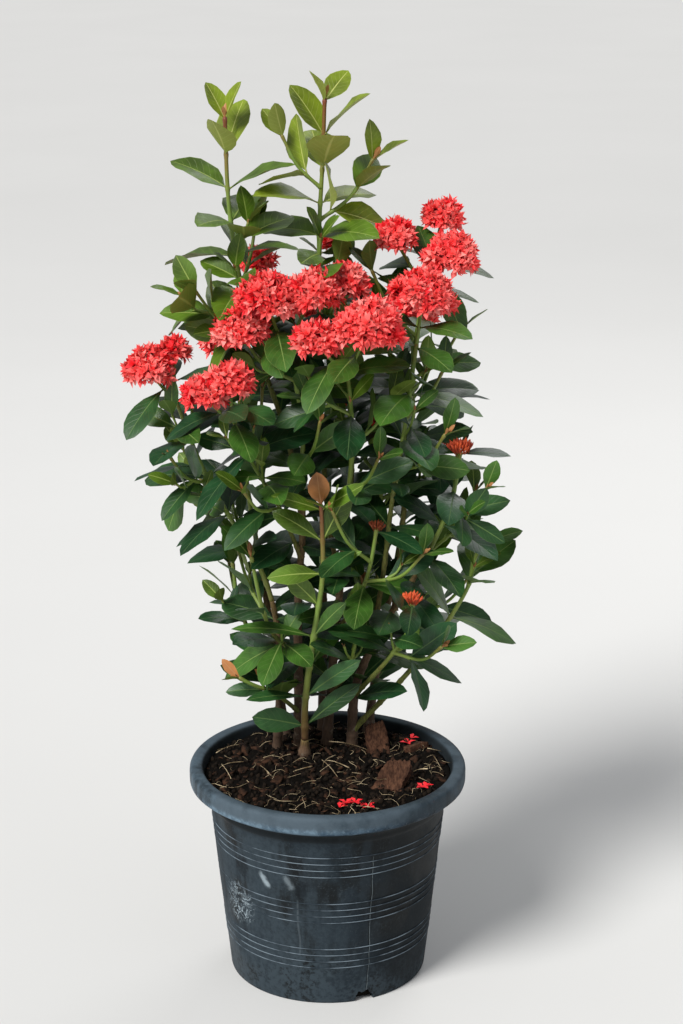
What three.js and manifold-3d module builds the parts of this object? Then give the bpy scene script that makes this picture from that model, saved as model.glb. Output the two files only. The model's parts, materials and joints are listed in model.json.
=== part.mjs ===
// A potted ixora: a clump of woody canes in a round plastic nursery pot, with glossy leaves in
// opposite pairs, light green leaders at the top and domed heads of red four-petalled blossom.
// Millimetres, +Z up, +X to the viewer's right and +Y away from the viewer. The origin is the
// centre of the pot's flat underside.
import * as THREE from "three";
import { mergeVertices } from "three/addons/utils/BufferGeometryUtils.js";
import Module from "manifold-3d";

const wasm = await Module();
wasm.setup();

// The pot: a tapering wall under a broad rolled rim
const POT_HEIGHT = 234;
const POT_FOOT_RADIUS = 106.5;
const POT_NECK_RADIUS = 127.5;
const POT_RIM_RADIUS = 149;
const POT_MOUTH_RADIUS = 134;
const POT_WALL = 2.6;
const POT_FLOOR = 4;
const POT_SIDES = 28;
const POT_NECK_HEIGHT = 200;
const RIM_BAND_BOTTOM = 218;
const RIM_ROUNDING = 4;

// The drain holes in the floor, and the broken notch in the foot, right of the front
const DRAIN_HOLES = 5;
const DRAIN_RADIUS = 6;
const DRAIN_CIRCLE = 68;
const DRAIN_SIDES = 6;
const NOTCH_BEARING = -68.5;
const NOTCH_EDGE = [[-11, -6], [11, -6], [10, 6], [6, 9], [3, 13], [-3, 10], [-7, 12], [-9, 5]];

// The potting mix, lumpy above the ground line at which the canes are cut
const GROUND = 222;
const SOIL_SIDES = 12;
const SOIL_RINGS = [0.45, 0.82];
const SOIL_LUMP = 3.4;
const BARK_CHIPS = {
  bark_chip_tall: { at: [55, 52, 226], size: [24, 36, 8], turn: 24, lean: 34 },
  bark_chip_front: { at: [70, -36, 225], size: [36, 30, 9], turn: -24, lean: 12 },
  bark_chip_right: { at: [96, 58, 226], size: [30, 14, 7], turn: 38, lean: -16 },
};

// Clearance between two pieces that meet
const GAP = 0.3;
const TWIG_ROOM = 8;

// The smallest step in a surface that is kept
const FINEST = 0.05;

// The habit of the plant
const INTERNODE = 42;
const FIRST_PAIR = 0.45;
const ABOVE_TOP_PAIR = 4;
const PAIR_TURN = 90;
const CANE_SIDES = 5;
const STEM_SIDES = 4;
const STALK_SIDES = 3;
const STEM_TIP_RADIUS = 2;
const TWIG_GIRTH = [2, 1.6];
const TWIG_LENGTH = [58, 96];
const TWIG_PITCH = 50;
const TWIG_LEAF = 0.9;
const STALK_LEAF = 0.84;
const STALK_WITH_LEAVES = 44;
const STALK_PAIR = { part: 0.42, pitch: 82, droop: 0.1 };
const TWIG_BUDS = 9;
const TWIG_TURNS = [0, 25, -25, 50, -50, 90, -90, 180];
const CANE_FLARE = 1.35;

// A leaf: its outline is given by two places along the blade, [part of the length, part of the
// half width], and its root lies past the stem's axis
const LEAF_WIDTH = 0.46;
const LEAF_LOWER = [0.35, 0.94];
const LEAF_UPPER = [0.69, 0.86];
const LEAF_KEEL = 1 / 48;
const KEEL_PART = 0.11;
const ROOT_PAST_AXIS = 0.3;
const BARE_PART = 0.14;
const LIGHT = new THREE.Vector3(0, -0.42, 0.56);
const LEAF_JITTER = { bearing: 22, pitch: 18, roll: 36, length: 0.2 };
const LEAF_TRIES = [[0, 0], [16, 0], [-16, 0], [0, 14], [0, -14], [30, 8], [-30, 8], [45, 0], [-45, 0]];
const AXIL_REACH = 14;
const AXIL_COSINE = 0.8;

// A head of blossom or a cluster of buds
const STALK_GIRTH = [1.9, 1.6];
const STALK_SUNK = 4;
const STALK_SAG = 3;
const HEAD_SIDES = 8;
const HEAD_ROWS = 4;
const HEAD_HOLLOW = 0.82;
const HEAD_HOLLOW_SHARE = 0.45;
const HEAD_FLATNESS = 0.88;
const BUD_SIDES = 5;
const BUD_ROWS = 3;
const SMALL_HEAD = 15;
const BUDS_PAST_TIP = 0.55;

// The room that the crown keeps to
const CROWN = new THREE.Box3(new THREE.Vector3(-214, -128, 232), new THREE.Vector3(210, 218, 968));

// Limbs: canes that stand in the mix and the boughs on them, each by the points that it passes
// and its radius at the foot and the tip. A bough starts inside its parent and is cut clear of it.
const LIMBS = {
  front_cane: { path: [[-26, 36, GROUND], [-25, 31, 247]], girth: [6.4, 4] },
  centre_cane: {
    path: [[-31, 62, GROUND], [-32, 46, 386], [-27, 40, 472], [-26, 32, 530]],
    girth: [6, 3],
  },
  left_cane: { path: [[-56, 62, GROUND], [-52, 50, 330], [-60, 40, 404]], girth: [5, 2.8] },
  right_cane: {
    path: [[26, 62, GROUND], [31, 56, 300], [60, 46, 372], [97, 33, 440]],
    girth: [6, 2.6],
  },
  mid_cane: { path: [[-1, 76, GROUND], [4, 68, 300], [14, 48, 420], [20, 32, 500]], girth: [5.6, 3] },
  back_cane: { path: [[-6, 108, GROUND], [-6, 122, 330], [-3, 132, 420]], girth: [5.6, 3.2] },
  back_left_cane: { path: [[-48, 98, GROUND], [-62, 116, 330], [-74, 126, 410]], girth: [5.4, 3] },
  back_right_cane: { path: [[44, 104, GROUND], [58, 112, 330], [72, 116, 400]], girth: [5.4, 3] },
  low_left_bough: { from: "centre_cane", path: [[-31, 57, 268], [-56, 20, 304]], girth: [2.6, 2.1] },
  left_mid_bough: { from: "centre_cane", path: [[-32, 50, 338], [-58, 22, 372]], girth: [2.8, 2.2] },
  left_inner_bough: { from: "centre_cane", path: [[-28, 41, 452], [-40, 30, 486]], girth: [2.8, 2.2] },
  top_left_bough: {
    from: "centre_cane",
    path: [[-27, 37, 500], [-42, 54, 580], [-68, 52, 664]],
    girth: [3, 2.5],
  },
  heart_bough: { from: "mid_cane", path: [[9, 58, 362], [30, 26, 404]], girth: [2.8, 2.2] },
  low_mid_bough: { from: "mid_cane", path: [[3, 69, 288], [20, 38, 318]], girth: [2.6, 2.1] },
  top_centre_bough: {
    from: "mid_cane",
    path: [[13, 50, 408], [0, 74, 500], [-8, 72, 610]],
    girth: [3.2, 2.7],
  },
  upper_mid_bough: {
    from: "mid_cane",
    path: [[17, 40, 462], [26, 60, 540], [24, 56, 600]],
    girth: [2.8, 2.3],
  },
  right_outer_bough: {
    from: "right_cane",
    path: [[28, 60, 246], [85, 48, 315], [122, 39, 369]],
    girth: [3.2, 2.5],
  },
  low_right_bough: { from: "right_cane", path: [[31, 57, 290], [56, 10, 337]], girth: [3, 2.4] },
  mid_right_bough: {
    from: "right_cane",
    path: [[47, 51, 346], [60, 32, 440], [68, 20, 520]],
    girth: [3, 2.5],
  },
  top_right_bough: {
    from: "right_cane",
    path: [[72, 42, 392], [82, 62, 500], [86, 60, 600]],
    girth: [3, 2.5],
  },
  inner_bough: {
    from: "back_right_cane",
    path: [[54, 110, 310], [54, 92, 400], [56, 80, 470]],
    girth: [2.8, 2.2],
  },
  back_low_bough: { from: "back_cane", path: [[-6, 116, 282], [-6, 146, 322]], girth: [2.6, 2.1] },
  back_left_low_bough: {
    from: "back_left_cane",
    path: [[-57, 110, 300], [-80, 100, 330]],
    girth: [2.6, 2.1],
  },
  back_right_low_bough: {
    from: "back_right_cane",
    path: [[52, 108, 292], [82, 108, 322]],
    girth: [2.6, 2.1],
  },
};

// Masses: the limb whose tip each grows on from, its stem by the points that it passes, the
// length of a full leaf and the bearing of the lowest pair. The stem ends in a leader of small
// leaves, in buds, or in heads of blossom [x, y, z, radius]. A side twig is given by how far up
// the stem it leaves, by its bearing and, where it isn't a leader, by what it ends in.
const MASSES = {
  front_shoot: {
    on: "front_cane", ends: "leader", leaf: 80, slim: 0.84, spacing: 38, phase: 10, turn: 62,
    twigs: [],
    path: [[-24, 20, 297], [-15, 5, 373], [-5, -8, 449], [-6, -20, 530]],
  },
  low_left_spray: {
    on: "low_left_bough", ends: "leader", leaf: 48, phase: 0, twigs: [],
    path: [[-80, 2, 322], [-95, -3, 332]],
  },
  left_mid_spray: {
    on: "left_mid_bough", ends: "leader", leaf: 76, phase: 80, twigs: [[0.3, 90]],
    path: [[-70, 6, 412], [-80, -2, 468]],
  },
  low_mid_spray: {
    on: "low_mid_bough", ends: "leader", leaf: 74, phase: 20, twigs: [[0.5, 60]],
    path: [[28, 22, 352], [32, 10, 392]],
  },
  low_right_spray: {
    on: "low_right_bough", ends: "buds", buds: 9, leaf: 76, phase: 0, twigs: [[0.3, -50]],
    path: [[74, -8, 368], [88, -20, 398], [89, -28, 426]],
  },
  heart_spray: {
    on: "heart_bough", ends: "buds", buds: 9, leaf: 74, phase: 40, twigs: [[0.35, -30], [0.6, 200]],
    path: [[44, 6, 450], [52, -5, 500]],
  },
  right_outer_shoot: {
    on: "right_outer_bough", ends: "leader", leaf: 84, spread: 24, phase: 0, twigs: [],
    path: [[149, 33, 419], [156, 32, 450], [164, 31, 472]],
  },
  right_bud_spray: {
    on: "right_cane", ends: "buds", buds: 14, leaf: 71, phase: 90, twigs: [[0.16, 50], [0.5, -60]],
    path: [[123, 20, 500], [134, 14, 540], [139, 11, 580]],
  },
  left_outer_spray: {
    on: "left_cane", ends: "heads", leaf: 76, phase: 60, twigs: [[0.25, 100], [0.6, 240]],
    heads: [[-183, 5, 667, 26], [-158, 22, 681, 18]],
    path: [[-81, 30, 464], [-108, 25, 511], [-134, 20, 567], [-158, 16, 636]],
  },
  left_inner_spray: {
    on: "left_inner_bough", ends: "heads", leaf: 78, phase: 20, twigs: [[0.2, 250], [0.55, 60]],
    heads: [[-125, -34, 650, 23], [-98, -32, 662, 25]],
    path: [[-50, 20, 514], [-78, 0, 570], [-96, -20, 622]],
  },
  centre_spray: {
    on: "centre_cane", ends: "heads", leaf: 78, phase: 0, twigs: [[0.2, -70], [0.5, 10], [0.75, 200]],
    heads: [[-88, -14, 712, 28], [-60, -20, 744, 32], [-14, -10, 748, 29]],
    path: [[-26, 22, 600], [-32, 12, 650], [-44, 4, 694]],
  },
  mid_spray: {
    on: "mid_cane", ends: "heads", leaf: 82, phase: 80, twigs: [[0.2, -60], [0.5, 10], [0.7, 190]],
    heads: [[-10, -40, 706, 26], [43, -46, 721, 34]],
    path: [[26, 10, 580], [24, -10, 640], [20, -22, 674]],
  },
  upper_mid_spray: {
    on: "upper_mid_bough", ends: "heads", leaf: 74, phase: 0, twigs: [[0.3, 100], [0.6, -80]],
    heads: [[18, 32, 749, 26]],
    path: [[22, 46, 650], [20, 38, 714]],
  },
  mid_right_spray: {
    on: "mid_right_bough", ends: "heads", leaf: 78, phase: 40, twigs: [[0.2, -40], [0.55, 30]],
    heads: [[97, 2, 742, 34]],
    path: [[80, 8, 600], [92, 2, 696]],
  },
  inner_spray: {
    on: "inner_bough", ends: "buds", buds: 13, leaf: 74, phase: 30, twigs: [[0.3, 0], [0.5, 170, "buds"]],
    path: [[58, 70, 530], [58, 60, 592]],
  },
  top_left_shoot: {
    on: "top_left_bough", ends: "leader", leaf: 74, spacing: 34, phase: 70,
    twigs: [[0.14, 215], [0.34, 60]],
    path: [[-89, 38, 753], [-100, 40, 832], [-103, 41, 922]],
  },
  top_centre_shoot: {
    on: "top_centre_bough", ends: "leader", leaf: 76, spacing: 34, phase: 20, turn: 62,
    twigs: [[0.24, 60], [0.72, 180], [0.62, 0]],
    path: [[-8, 62, 700], [-8, 58, 801], [-4, 60, 880], [-2, 60, 938]],
  },
  top_right_spray: {
    on: "top_right_bough", ends: "heads", leaf: 74, phase: 0, twigs: [[0.3, 0], [0.62, 190]],
    heads: [[70, 54, 794, 23], [120, 86, 810, 22], [127, 36, 777, 28]],
    path: [[92, 55, 682], [102, 60, 745]],
  },
  back_left_spray: {
    on: "back_left_cane", ends: "heads", leaf: 80, phase: 30, twigs: [[0.2, 180], [0.55, 90]],
    heads: [[-73, 112, 758, 20], [-112, 140, 664, 26]],
    path: [[-88, 134, 500], [-96, 136, 580], [-92, 128, 650]],
  },
  back_spray: {
    on: "back_cane", ends: "heads", leaf: 80, phase: 75, twigs: [[0.2, 40], [0.55, 150]],
    heads: [[8, 132, 774, 16], [-16, 168, 692, 27]],
    path: [[2, 146, 520], [6, 152, 610], [4, 148, 674]],
  },
  back_right_spray: {
    on: "back_right_cane", ends: "heads", leaf: 80, phase: 10,
    twigs: [[0.12, 10], [0.42, -45, "buds"], [0.7, 100]],
    heads: [[92, 156, 690, 27]],
    path: [[84, 126, 480], [92, 132, 570], [92, 142, 648]],
  },
  back_low_spray: {
    on: "back_low_bough", ends: "leader", leaf: 76, phase: 0, twigs: [[0.4, 20]],
    path: [[-8, 168, 380], [-8, 178, 440]],
  },
  back_left_low_spray: {
    on: "back_left_low_bough", ends: "leader", leaf: 67, phase: 45, twigs: [[0.4, 100]],
    path: [[-98, 94, 382], [-104, 92, 430]],
  },
  back_right_low_spray: {
    on: "back_right_low_bough", ends: "leader", leaf: 76, phase: 45, twigs: [[0.4, 0]],
    path: [[102, 110, 372], [110, 112, 430]],
  },
};

// Materials
const MATERIALS = {
  pot: new THREE.MeshStandardMaterial({ color: 0x2b3440, roughness: 0.62, metalness: 0 }),
  mix: new THREE.MeshStandardMaterial({ color: 0x2a1d15, roughness: 0.95, metalness: 0 }),
  bark_chip: new THREE.MeshStandardMaterial({ color: 0x5a3525, roughness: 0.9, metalness: 0 }),
  cane: new THREE.MeshStandardMaterial({ color: 0x6b4a33, roughness: 0.85, metalness: 0 }),
  foliage: new THREE.MeshStandardMaterial({ color: 0x1f4a26, roughness: 0.4, metalness: 0 }),
};

const rad = THREE.MathUtils.degToRad;
const vector = (point) => new THREE.Vector3(...point);
const UP = new THREE.Vector3(0, 0, 1);

// Two directions, each times its own share
function blend(one, share, other, otherShare) {
  return one.clone().multiplyScalar(share).addScaledVector(other, otherShare);
}

// A seeded number from 0 to 1, the same on every run
function chance(seed, draw) {
  const value = Math.sin(seed * 127.1 + draw * 311.7) * 43758.5453;
  return value - Math.floor(value);
}

// A closed three.js geometry as a solid
function solidOf(geometry) {
  const bare = geometry.clone();
  bare.deleteAttribute("normal");
  bare.deleteAttribute("uv");
  const welded = mergeVertices(bare, 1e-4);
  return new wasm.Manifold(new wasm.Mesh({
    numProp: 3,
    vertProperties: new Float32Array(welded.attributes.position.array),
    triVerts: new Uint32Array(welded.index.array),
  }));
}

// A closed body from named corners and the triangles between them
function solidFromFaces(corners, faces) {
  const geometry = new THREE.BufferGeometry().setFromPoints(corners);
  geometry.setIndex(faces.flat());
  return solidOf(geometry);
}

// The largest of the pieces that a cut leaves
function largestPiece(solid) {
  const pieces = solid.decompose();
  return pieces.reduce((best, piece) => (piece.volume() > best.volume() ? piece : best));
}

// A named mesh of a solid
function meshOf(name, solid, material) {
  const cut = solid.getMesh();
  const geometry = new THREE.BufferGeometry();
  const corners = new Float32Array(cut.numVert * 3);
  for (let i = 0; i < cut.numVert; i += 1) {
    corners.set(cut.vertProperties.subarray(i * cut.numProp, i * cut.numProp + 3), i * 3);
  }
  geometry.setAttribute("position", new THREE.BufferAttribute(corners, 3));
  geometry.setIndex(new THREE.BufferAttribute(new Uint32Array(cut.triVerts), 1));
  geometry.computeVertexNormals();
  const mesh = new THREE.Mesh(geometry, material);
  mesh.name = name;
  return mesh;
}

// The two directions across a stem: the first as near +X as the stem allows
function across(tangent) {
  const first = new THREE.Vector3(1, 0, 0).addScaledVector(tangent, -tangent.x).normalize();
  return [first, tangent.clone().cross(first)];
}

// A stretch of a smooth curve: the curve passes all the points, and the stretch runs from one of
// them to another, so that a stem goes on in line with the limb before it
class Stretch {
  constructor(points, first, last) {
    this.curve = new THREE.CatmullRomCurve3(points, false, "catmullrom", 0.5);
    const lengths = this.curve.getLengths(this.curve.arcLengthDivisions);
    const spans = points.length - 1;
    const lengthTo = (index) => {
      const mark = (index / spans) * (lengths.length - 1);
      const next = Math.min(Math.floor(mark) + 1, lengths.length - 1);
      return THREE.MathUtils.lerp(lengths[Math.floor(mark)], lengths[next], mark % 1);
    };
    const whole = lengths[lengths.length - 1];
    this.start = lengthTo(first) / whole;
    this.share = (lengthTo(last) - lengthTo(first)) / whole;
    this.length = this.share * whole;
  }

  at(part) {
    const u = Math.min(1, this.start + this.share * part);
    return { point: this.curve.getPointAt(u), tangent: this.curve.getTangentAt(u) };
  }
}

// A tapering limb along a stretch, as a cylinder whose rings are moved onto the curve
function tube(stretch, girth, { sides, rows, swell = 0, trim = 0, turn = 0, rooted = false }) {
  const geometry = new THREE.CylinderGeometry(1, 1, 1, sides, rows).rotateY(turn);
  const corners = geometry.attributes.position;
  for (let i = 0; i < corners.count; i += 1) {
    const ring = corners.getY(i) + 0.5;
    const part = trim / stretch.length + ring * (1 - trim / stretch.length);
    const { point, tangent } = stretch.at(part);
    const [first, second] = across(tangent);
    const flare = rooted && ring < 0.01 ? CANE_FLARE : 1;
    const radius = THREE.MathUtils.lerp(girth[0], girth[1], part) * flare + swell;
    point.addScaledVector(first, corners.getX(i) * radius);
    point.addScaledVector(second, -corners.getZ(i) * radius);
    if (rooted && ring < 0.01) {
      point.z = GROUND + GAP - swell;
    }
    corners.setXYZ(i, point.x, point.y, point.z);
  }
  return solidOf(geometry);
}

// The pot: the wall and rim turned in one, with drain holes and the notch cut through
function potSolid() {
  const wallAt = (height) => THREE.MathUtils.mapLinear(
    height, 0, POT_NECK_HEIGHT, POT_FOOT_RADIUS, POT_NECK_RADIUS);
  const profile = [
    [0, 0], [POT_FOOT_RADIUS, 0],
    [wallAt(POT_NECK_HEIGHT - 6), POT_NECK_HEIGHT - 6], [POT_NECK_RADIUS + 2, POT_NECK_HEIGHT - 3],
    [POT_RIM_RADIUS - 1, RIM_BAND_BOTTOM], [POT_RIM_RADIUS, POT_HEIGHT - RIM_ROUNDING],
    [POT_RIM_RADIUS - RIM_ROUNDING, POT_HEIGHT], [POT_MOUTH_RADIUS, POT_HEIGHT],
    [POT_NECK_RADIUS - POT_WALL, POT_NECK_HEIGHT - 6], [wallAt(POT_FLOOR) - POT_WALL, POT_FLOOR],
    [0, POT_FLOOR],
  ];
  const turned = new THREE.LatheGeometry(profile.map((p) => new THREE.Vector2(...p)), POT_SIDES);
  turned.rotateX(Math.PI / 2);
  let pot = solidOf(turned);
  for (let hole = 0; hole < DRAIN_HOLES; hole += 1) {
    const bearing = rad((360 * hole) / DRAIN_HOLES);
    const drill = new THREE.CylinderGeometry(DRAIN_RADIUS, DRAIN_RADIUS, 4 * POT_FLOOR, DRAIN_SIDES);
    drill.rotateX(Math.PI / 2);
    drill.translate(DRAIN_CIRCLE * Math.cos(bearing), DRAIN_CIRCLE * Math.sin(bearing), 0);
    pot = pot.subtract(solidOf(drill));
  }
  const shape = new THREE.Shape(NOTCH_EDGE.map((p) => new THREE.Vector2(...p)));
  const notch = new THREE.ExtrudeGeometry(shape, { depth: 12, bevelEnabled: false });
  notch.translate(0, 0, POT_FOOT_RADIUS - 8);
  notch.rotateX(Math.PI / 2);
  notch.rotateZ(rad(NOTCH_BEARING + 90));
  return pot.subtract(solidOf(notch));
}

// How far the potting mix stands above the ground line
function lump(x, y) {
  const wave = Math.sin(x / 17 + 0.6) * Math.cos(y / 21 - 0.4) + Math.sin((x + y) / 11) * 0.5;
  return SOIL_LUMP * (0.5 + wave / 3);
}

// The potting mix: a plug that fills the pot, with a lumpy top
function soilSolid() {
  const room = POT_WALL + GAP + 0.4;
  const top = THREE.MathUtils.mapLinear(
    GROUND, POT_NECK_HEIGHT - 6, POT_HEIGHT, POT_NECK_RADIUS - room, POT_MOUTH_RADIUS - 1.2);
  const profile = [
    [0, POT_FLOOR + GAP], [POT_FOOT_RADIUS - room - 0.5, POT_FLOOR + GAP],
    [POT_NECK_RADIUS - room - 0.6, POT_NECK_HEIGHT - 6], [top, GROUND],
    ...SOIL_RINGS.toReversed().map((part) => [top * part, GROUND]), [0, GROUND],
  ];
  const turned = new THREE.LatheGeometry(profile.map((p) => new THREE.Vector2(...p)), SOIL_SIDES);
  turned.rotateX(Math.PI / 2);
  const corners = turned.attributes.position;
  for (let i = 0; i < corners.count; i += 1) {
    const [x, y, z] = [corners.getX(i), corners.getY(i), corners.getZ(i)];
    if (z > GROUND - 1 && Math.hypot(x, y) < top - 1) {
      corners.setZ(i, GROUND + lump(x, y));
    }
  }
  return solidOf(turned);
}

// A chip of bark: a slab that narrows to one end, its corners out of square
function chipSolid({ at, size, turn, lean }, swell = 0) {
  const slab = new THREE.BoxGeometry(
    size[0] + 2 * swell, size[1] + 2 * swell, size[2] + 2 * swell, 1, 2, 1);
  const corners = slab.attributes.position;
  for (let i = 0; i < corners.count; i += 1) {
    const [x, y, z] = [corners.getX(i), corners.getY(i), corners.getZ(i)];
    const end = y / size[1] + 0.5;
    const ragged = 1 + 0.16 * Math.sin(7 * end + 3 * Math.sign(x));
    corners.setXYZ(i, x * ragged * (1 - 0.3 * end), y + 0.12 * x, z + 0.05 * y * (x / size[0]));
  }
  slab.rotateX(rad(lean));
  slab.rotateZ(rad(turn));
  slab.translate(...at);
  return solidOf(slab);
}

// A leaf: a pointed outline of six corners over a keel, running back to one root point in the
// stem. It is given by that root, the way it sets out, the way its upper face looks, length,
// width and droop. A bare blade starts clear of the stem, and swell fattens it for the tests.
function leafSolid({ root, along, up, length, width, droop }, from = 0, swell = 0) {
  const right = along.clone().cross(up);
  const corner = (part, aside, lift) => root.clone()
    .addScaledVector(along, length * part)
    .addScaledVector(UP, -length * droop * part * part)
    .addScaledVector(right, aside)
    .addScaledVector(up, lift);
  const half = width / 2 + swell;
  const corners = [
    corner(from, 0, swell), corner(from + KEEL_PART, 0, -length * LEAF_KEEL - swell),
    corner(LEAF_LOWER[0], half * LEAF_LOWER[1], swell),
    corner(LEAF_UPPER[0], half * LEAF_UPPER[1], swell),
    corner(1, 0, 0),
    corner(LEAF_UPPER[0], -half * LEAF_UPPER[1], swell),
    corner(LEAF_LOWER[0], -half * LEAF_LOWER[1], swell),
  ];
  const faces = [
    [0, 2, 6], [6, 2, 3], [6, 3, 5], [5, 3, 4],
    [1, 2, 0], [1, 3, 2], [1, 4, 3], [1, 5, 4], [1, 6, 5], [1, 0, 6],
  ];
  return solidFromFaces(corners, faces);
}

// A head of blossom or a cluster of buds: a dome whose corners stand in and out like florets
function headSolid(centre, radius, seed) {
  const [sides, rows] = radius > SMALL_HEAD ? [HEAD_SIDES, HEAD_ROWS] : [BUD_SIDES, BUD_ROWS];
  const dome = new THREE.SphereGeometry(1, sides, rows).rotateX(Math.PI / 2);
  dome.deleteAttribute("normal");
  dome.deleteAttribute("uv");
  const welded = mergeVertices(dome);
  const corners = welded.attributes.position;
  for (let i = 0; i < corners.count; i += 1) {
    const reach = radius * (chance(seed, i) < HEAD_HOLLOW_SHARE ? HEAD_HOLLOW : 1);
    corners.setXYZ(
      i,
      centre.x + corners.getX(i) * reach,
      centre.y + corners.getY(i) * reach,
      centre.z + corners.getZ(i) * reach * HEAD_FLATNESS,
    );
  }
  return solidOf(welded);
}

// The buds at the tip of a stem, as one small cluster
function budSolid({ stretch, seed }, radius) {
  const { point, tangent } = stretch.at(1);
  return headSolid(point.clone().addScaledVector(tangent, radius * BUDS_PAST_TIP), radius, seed);
}

// What stands so far, for the clearance tests. Each has the mass or limb that owns it, the stem
// that it stands on and, on a leaf, the number of its pair.
const standing = [];

function settle(solid, mass, stem, pair) {
  const { min, max } = solid.boundingBox();
  standing.push({ solid, mass, stem, pair, box: new THREE.Box3(vector(min), vector(max)) });
}

function meets(solid, counts) {
  const { min, max } = solid.boundingBox();
  const box = new THREE.Box3(vector(min), vector(max));
  return standing.some((other) => {
    if (!box.intersectsBox(other.box) || !counts(other)) {
      return false;
    }
    const shared = solid.intersect(other.solid);
    const hit = !shared.isEmpty();
    shared.delete();
    return hit;
  });
}

// Limbs: each along its path and in line with the stem of the mass that it carries
const massOn = Object.fromEntries(Object.values(MASSES).map((mass) => [mass.on, mass]));

function limbSolid(name, swell = 0) {
  const { path, girth, from } = LIMBS[name];
  const points = [...path, massOn[name].path[0]].map(vector);
  const stretch = new Stretch(points, 0, path.length - 1);
  const rows = path.length;
  return tube(stretch, girth, { sides: CANE_SIDES, rows, swell, rooted: !from });
}

const limbs = {};
for (const [name, { from }] of Object.entries(LIMBS)) {
  const limb = limbSolid(name);
  limbs[name] = from ? largestPiece(limb.subtract(limbSolid(from, GAP))) : limb;
  settle(limbSolid(name, GAP), name, name);
}

// The pot, the chips of bark, and the mix cut clear of the chips and the canes' feet
const pot = potSolid();
const chips = Object.fromEntries(
  Object.entries(BARK_CHIPS).map(([name, chip]) => [name, chipSolid(chip)]));
let mix = soilSolid();
for (const chip of Object.values(BARK_CHIPS)) {
  mix = mix.subtract(chipSolid(chip, GAP));
}
for (const [name, { from }] of Object.entries(LIMBS)) {
  mix = from ? mix : mix.subtract(limbSolid(name, GAP));
}
mix = largestPiece(mix);
settle(pot, "pot", "pot");
settle(mix, "mix", "mix");

// The stem of a mass, in line with its limb
function mainStem(name, mass) {
  const { path, girth } = LIMBS[mass.on];
  const points = [path[path.length - 2], path[path.length - 1], ...mass.path].map(vector);
  return {
    name,
    mass,
    seed: mass.seed,
    ends: mass.ends,
    phase: mass.phase,
    turn: mass.turn ?? PAIR_TURN,
    leaf: mass.leaf,
    stretch: new Stretch(points, 1, points.length - 1),
    girth: [girth[1], STEM_TIP_RADIUS],
    sides: STEM_SIDES,
    rows: mass.path.length + 1,
    axils: [],
  };
}

// A side twig in the axil of a leaf, rising as it goes; the next bearing round is tried where it
// would touch something or leave the crown
function sideTwig(stem, number, [part, bearing, ends = "leader"]) {
  const { point, tangent } = onAxis(stem, part);
  const [first, second] = across(tangent);
  const seed = stem.seed + 0.1 * (number + 1);
  const length = THREE.MathUtils.lerp(...TWIG_LENGTH, chance(seed, 1));
  for (const turn of TWIG_TURNS) {
    const out = blend(first, Math.cos(rad(bearing + turn)), second, Math.sin(rad(bearing + turn)));
    const along = blend(out, Math.sin(rad(TWIG_PITCH)), tangent, Math.cos(rad(TWIG_PITCH)));
    const middle = point.clone().addScaledVector(along, length * 0.5);
    const tip = point.clone().addScaledVector(along, length * 0.85).addScaledVector(UP, length * 0.25);
    const twig = {
      name: `${stem.name}_${number}`,
      mass: stem.mass,
      seed,
      ends,
      phase: 90 * chance(seed, 2),
      turn: PAIR_TURN,
      leaf: stem.leaf * TWIG_LEAF,
      stretch: new Stretch([point, middle, tip], 0, 2),
      girth: TWIG_GIRTH,
      sides: STALK_SIDES,
      rows: 2,
      axils: [],
    };
    const clear = (solid) => !meets(solid, () => true);
    if (CROWN.containsPoint(tip) && clear(stemSolid(twig, 1, TWIG_ROOM))
      && (ends !== "buds" || clear(budSolid(twig, TWIG_BUDS + GAP)))) {
      stem.axils.push({ part, bearing: bearing + turn });
      return twig;
    }
  }
  return null;
}

// A stem as a solid, its flat sides turned to where the leaves stand
function stemSolid({ stretch, girth, sides, rows, phase }, swell = 0, trim = 0) {
  return tube(stretch, girth, { sides, rows, swell, trim, turn: rad(phase + 45) });
}

// A place on the axis of a stem as it is built, straight from ring to ring
function onAxis({ stretch, rows }, part) {
  const ring = Math.min(rows - 1, Math.floor(part * rows));
  const above = stretch.at((ring + 1) / rows).point;
  const point = stretch.at(ring / rows).point.lerp(above, part * rows - ring);
  return { point, tangent: stretch.at(part).tangent };
}

// The leaf pairs of a stem, from its foot to its tip: a leader's youngest leaves are small and
// upright, and all lower ones are full and spreading
function pairsOf(stem) {
  if (stem.ends === "head") {
    const pair = { number: 0, ...STALK_PAIR, bearing: stem.phase, length: stem.leaf };
    return stem.stretch.length > STALK_WITH_LEAVES ? [pair] : [];
  }
  const count = Math.max(2, Math.round(stem.stretch.length / (stem.mass.spacing ?? INTERNODE)));
  const young = stem.ends === "leader";
  const top = 1 - ABOVE_TOP_PAIR / stem.stretch.length;
  const spread = stem.mass.spread ?? 0;
  return Array.from({ length: count }, (_, number) => {
    const below = count - 1 - number;
    return {
      number,
      part: (top * (number + FIRST_PAIR)) / (count - 1 + FIRST_PAIR),
      bearing: stem.phase + stem.turn * number,
      pitch: young ? Math.min(76, 26 + 16 * below + spread) : Math.max(66, 84 - 6 * below),
      droop: Math.min(0.18, (young ? 0.02 : 0.08) + 0.04 * below),
      length: stem.leaf * Math.min(1, (young ? 0.58 : 0.74) + 0.3 * below),
    };
  });
}

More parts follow.
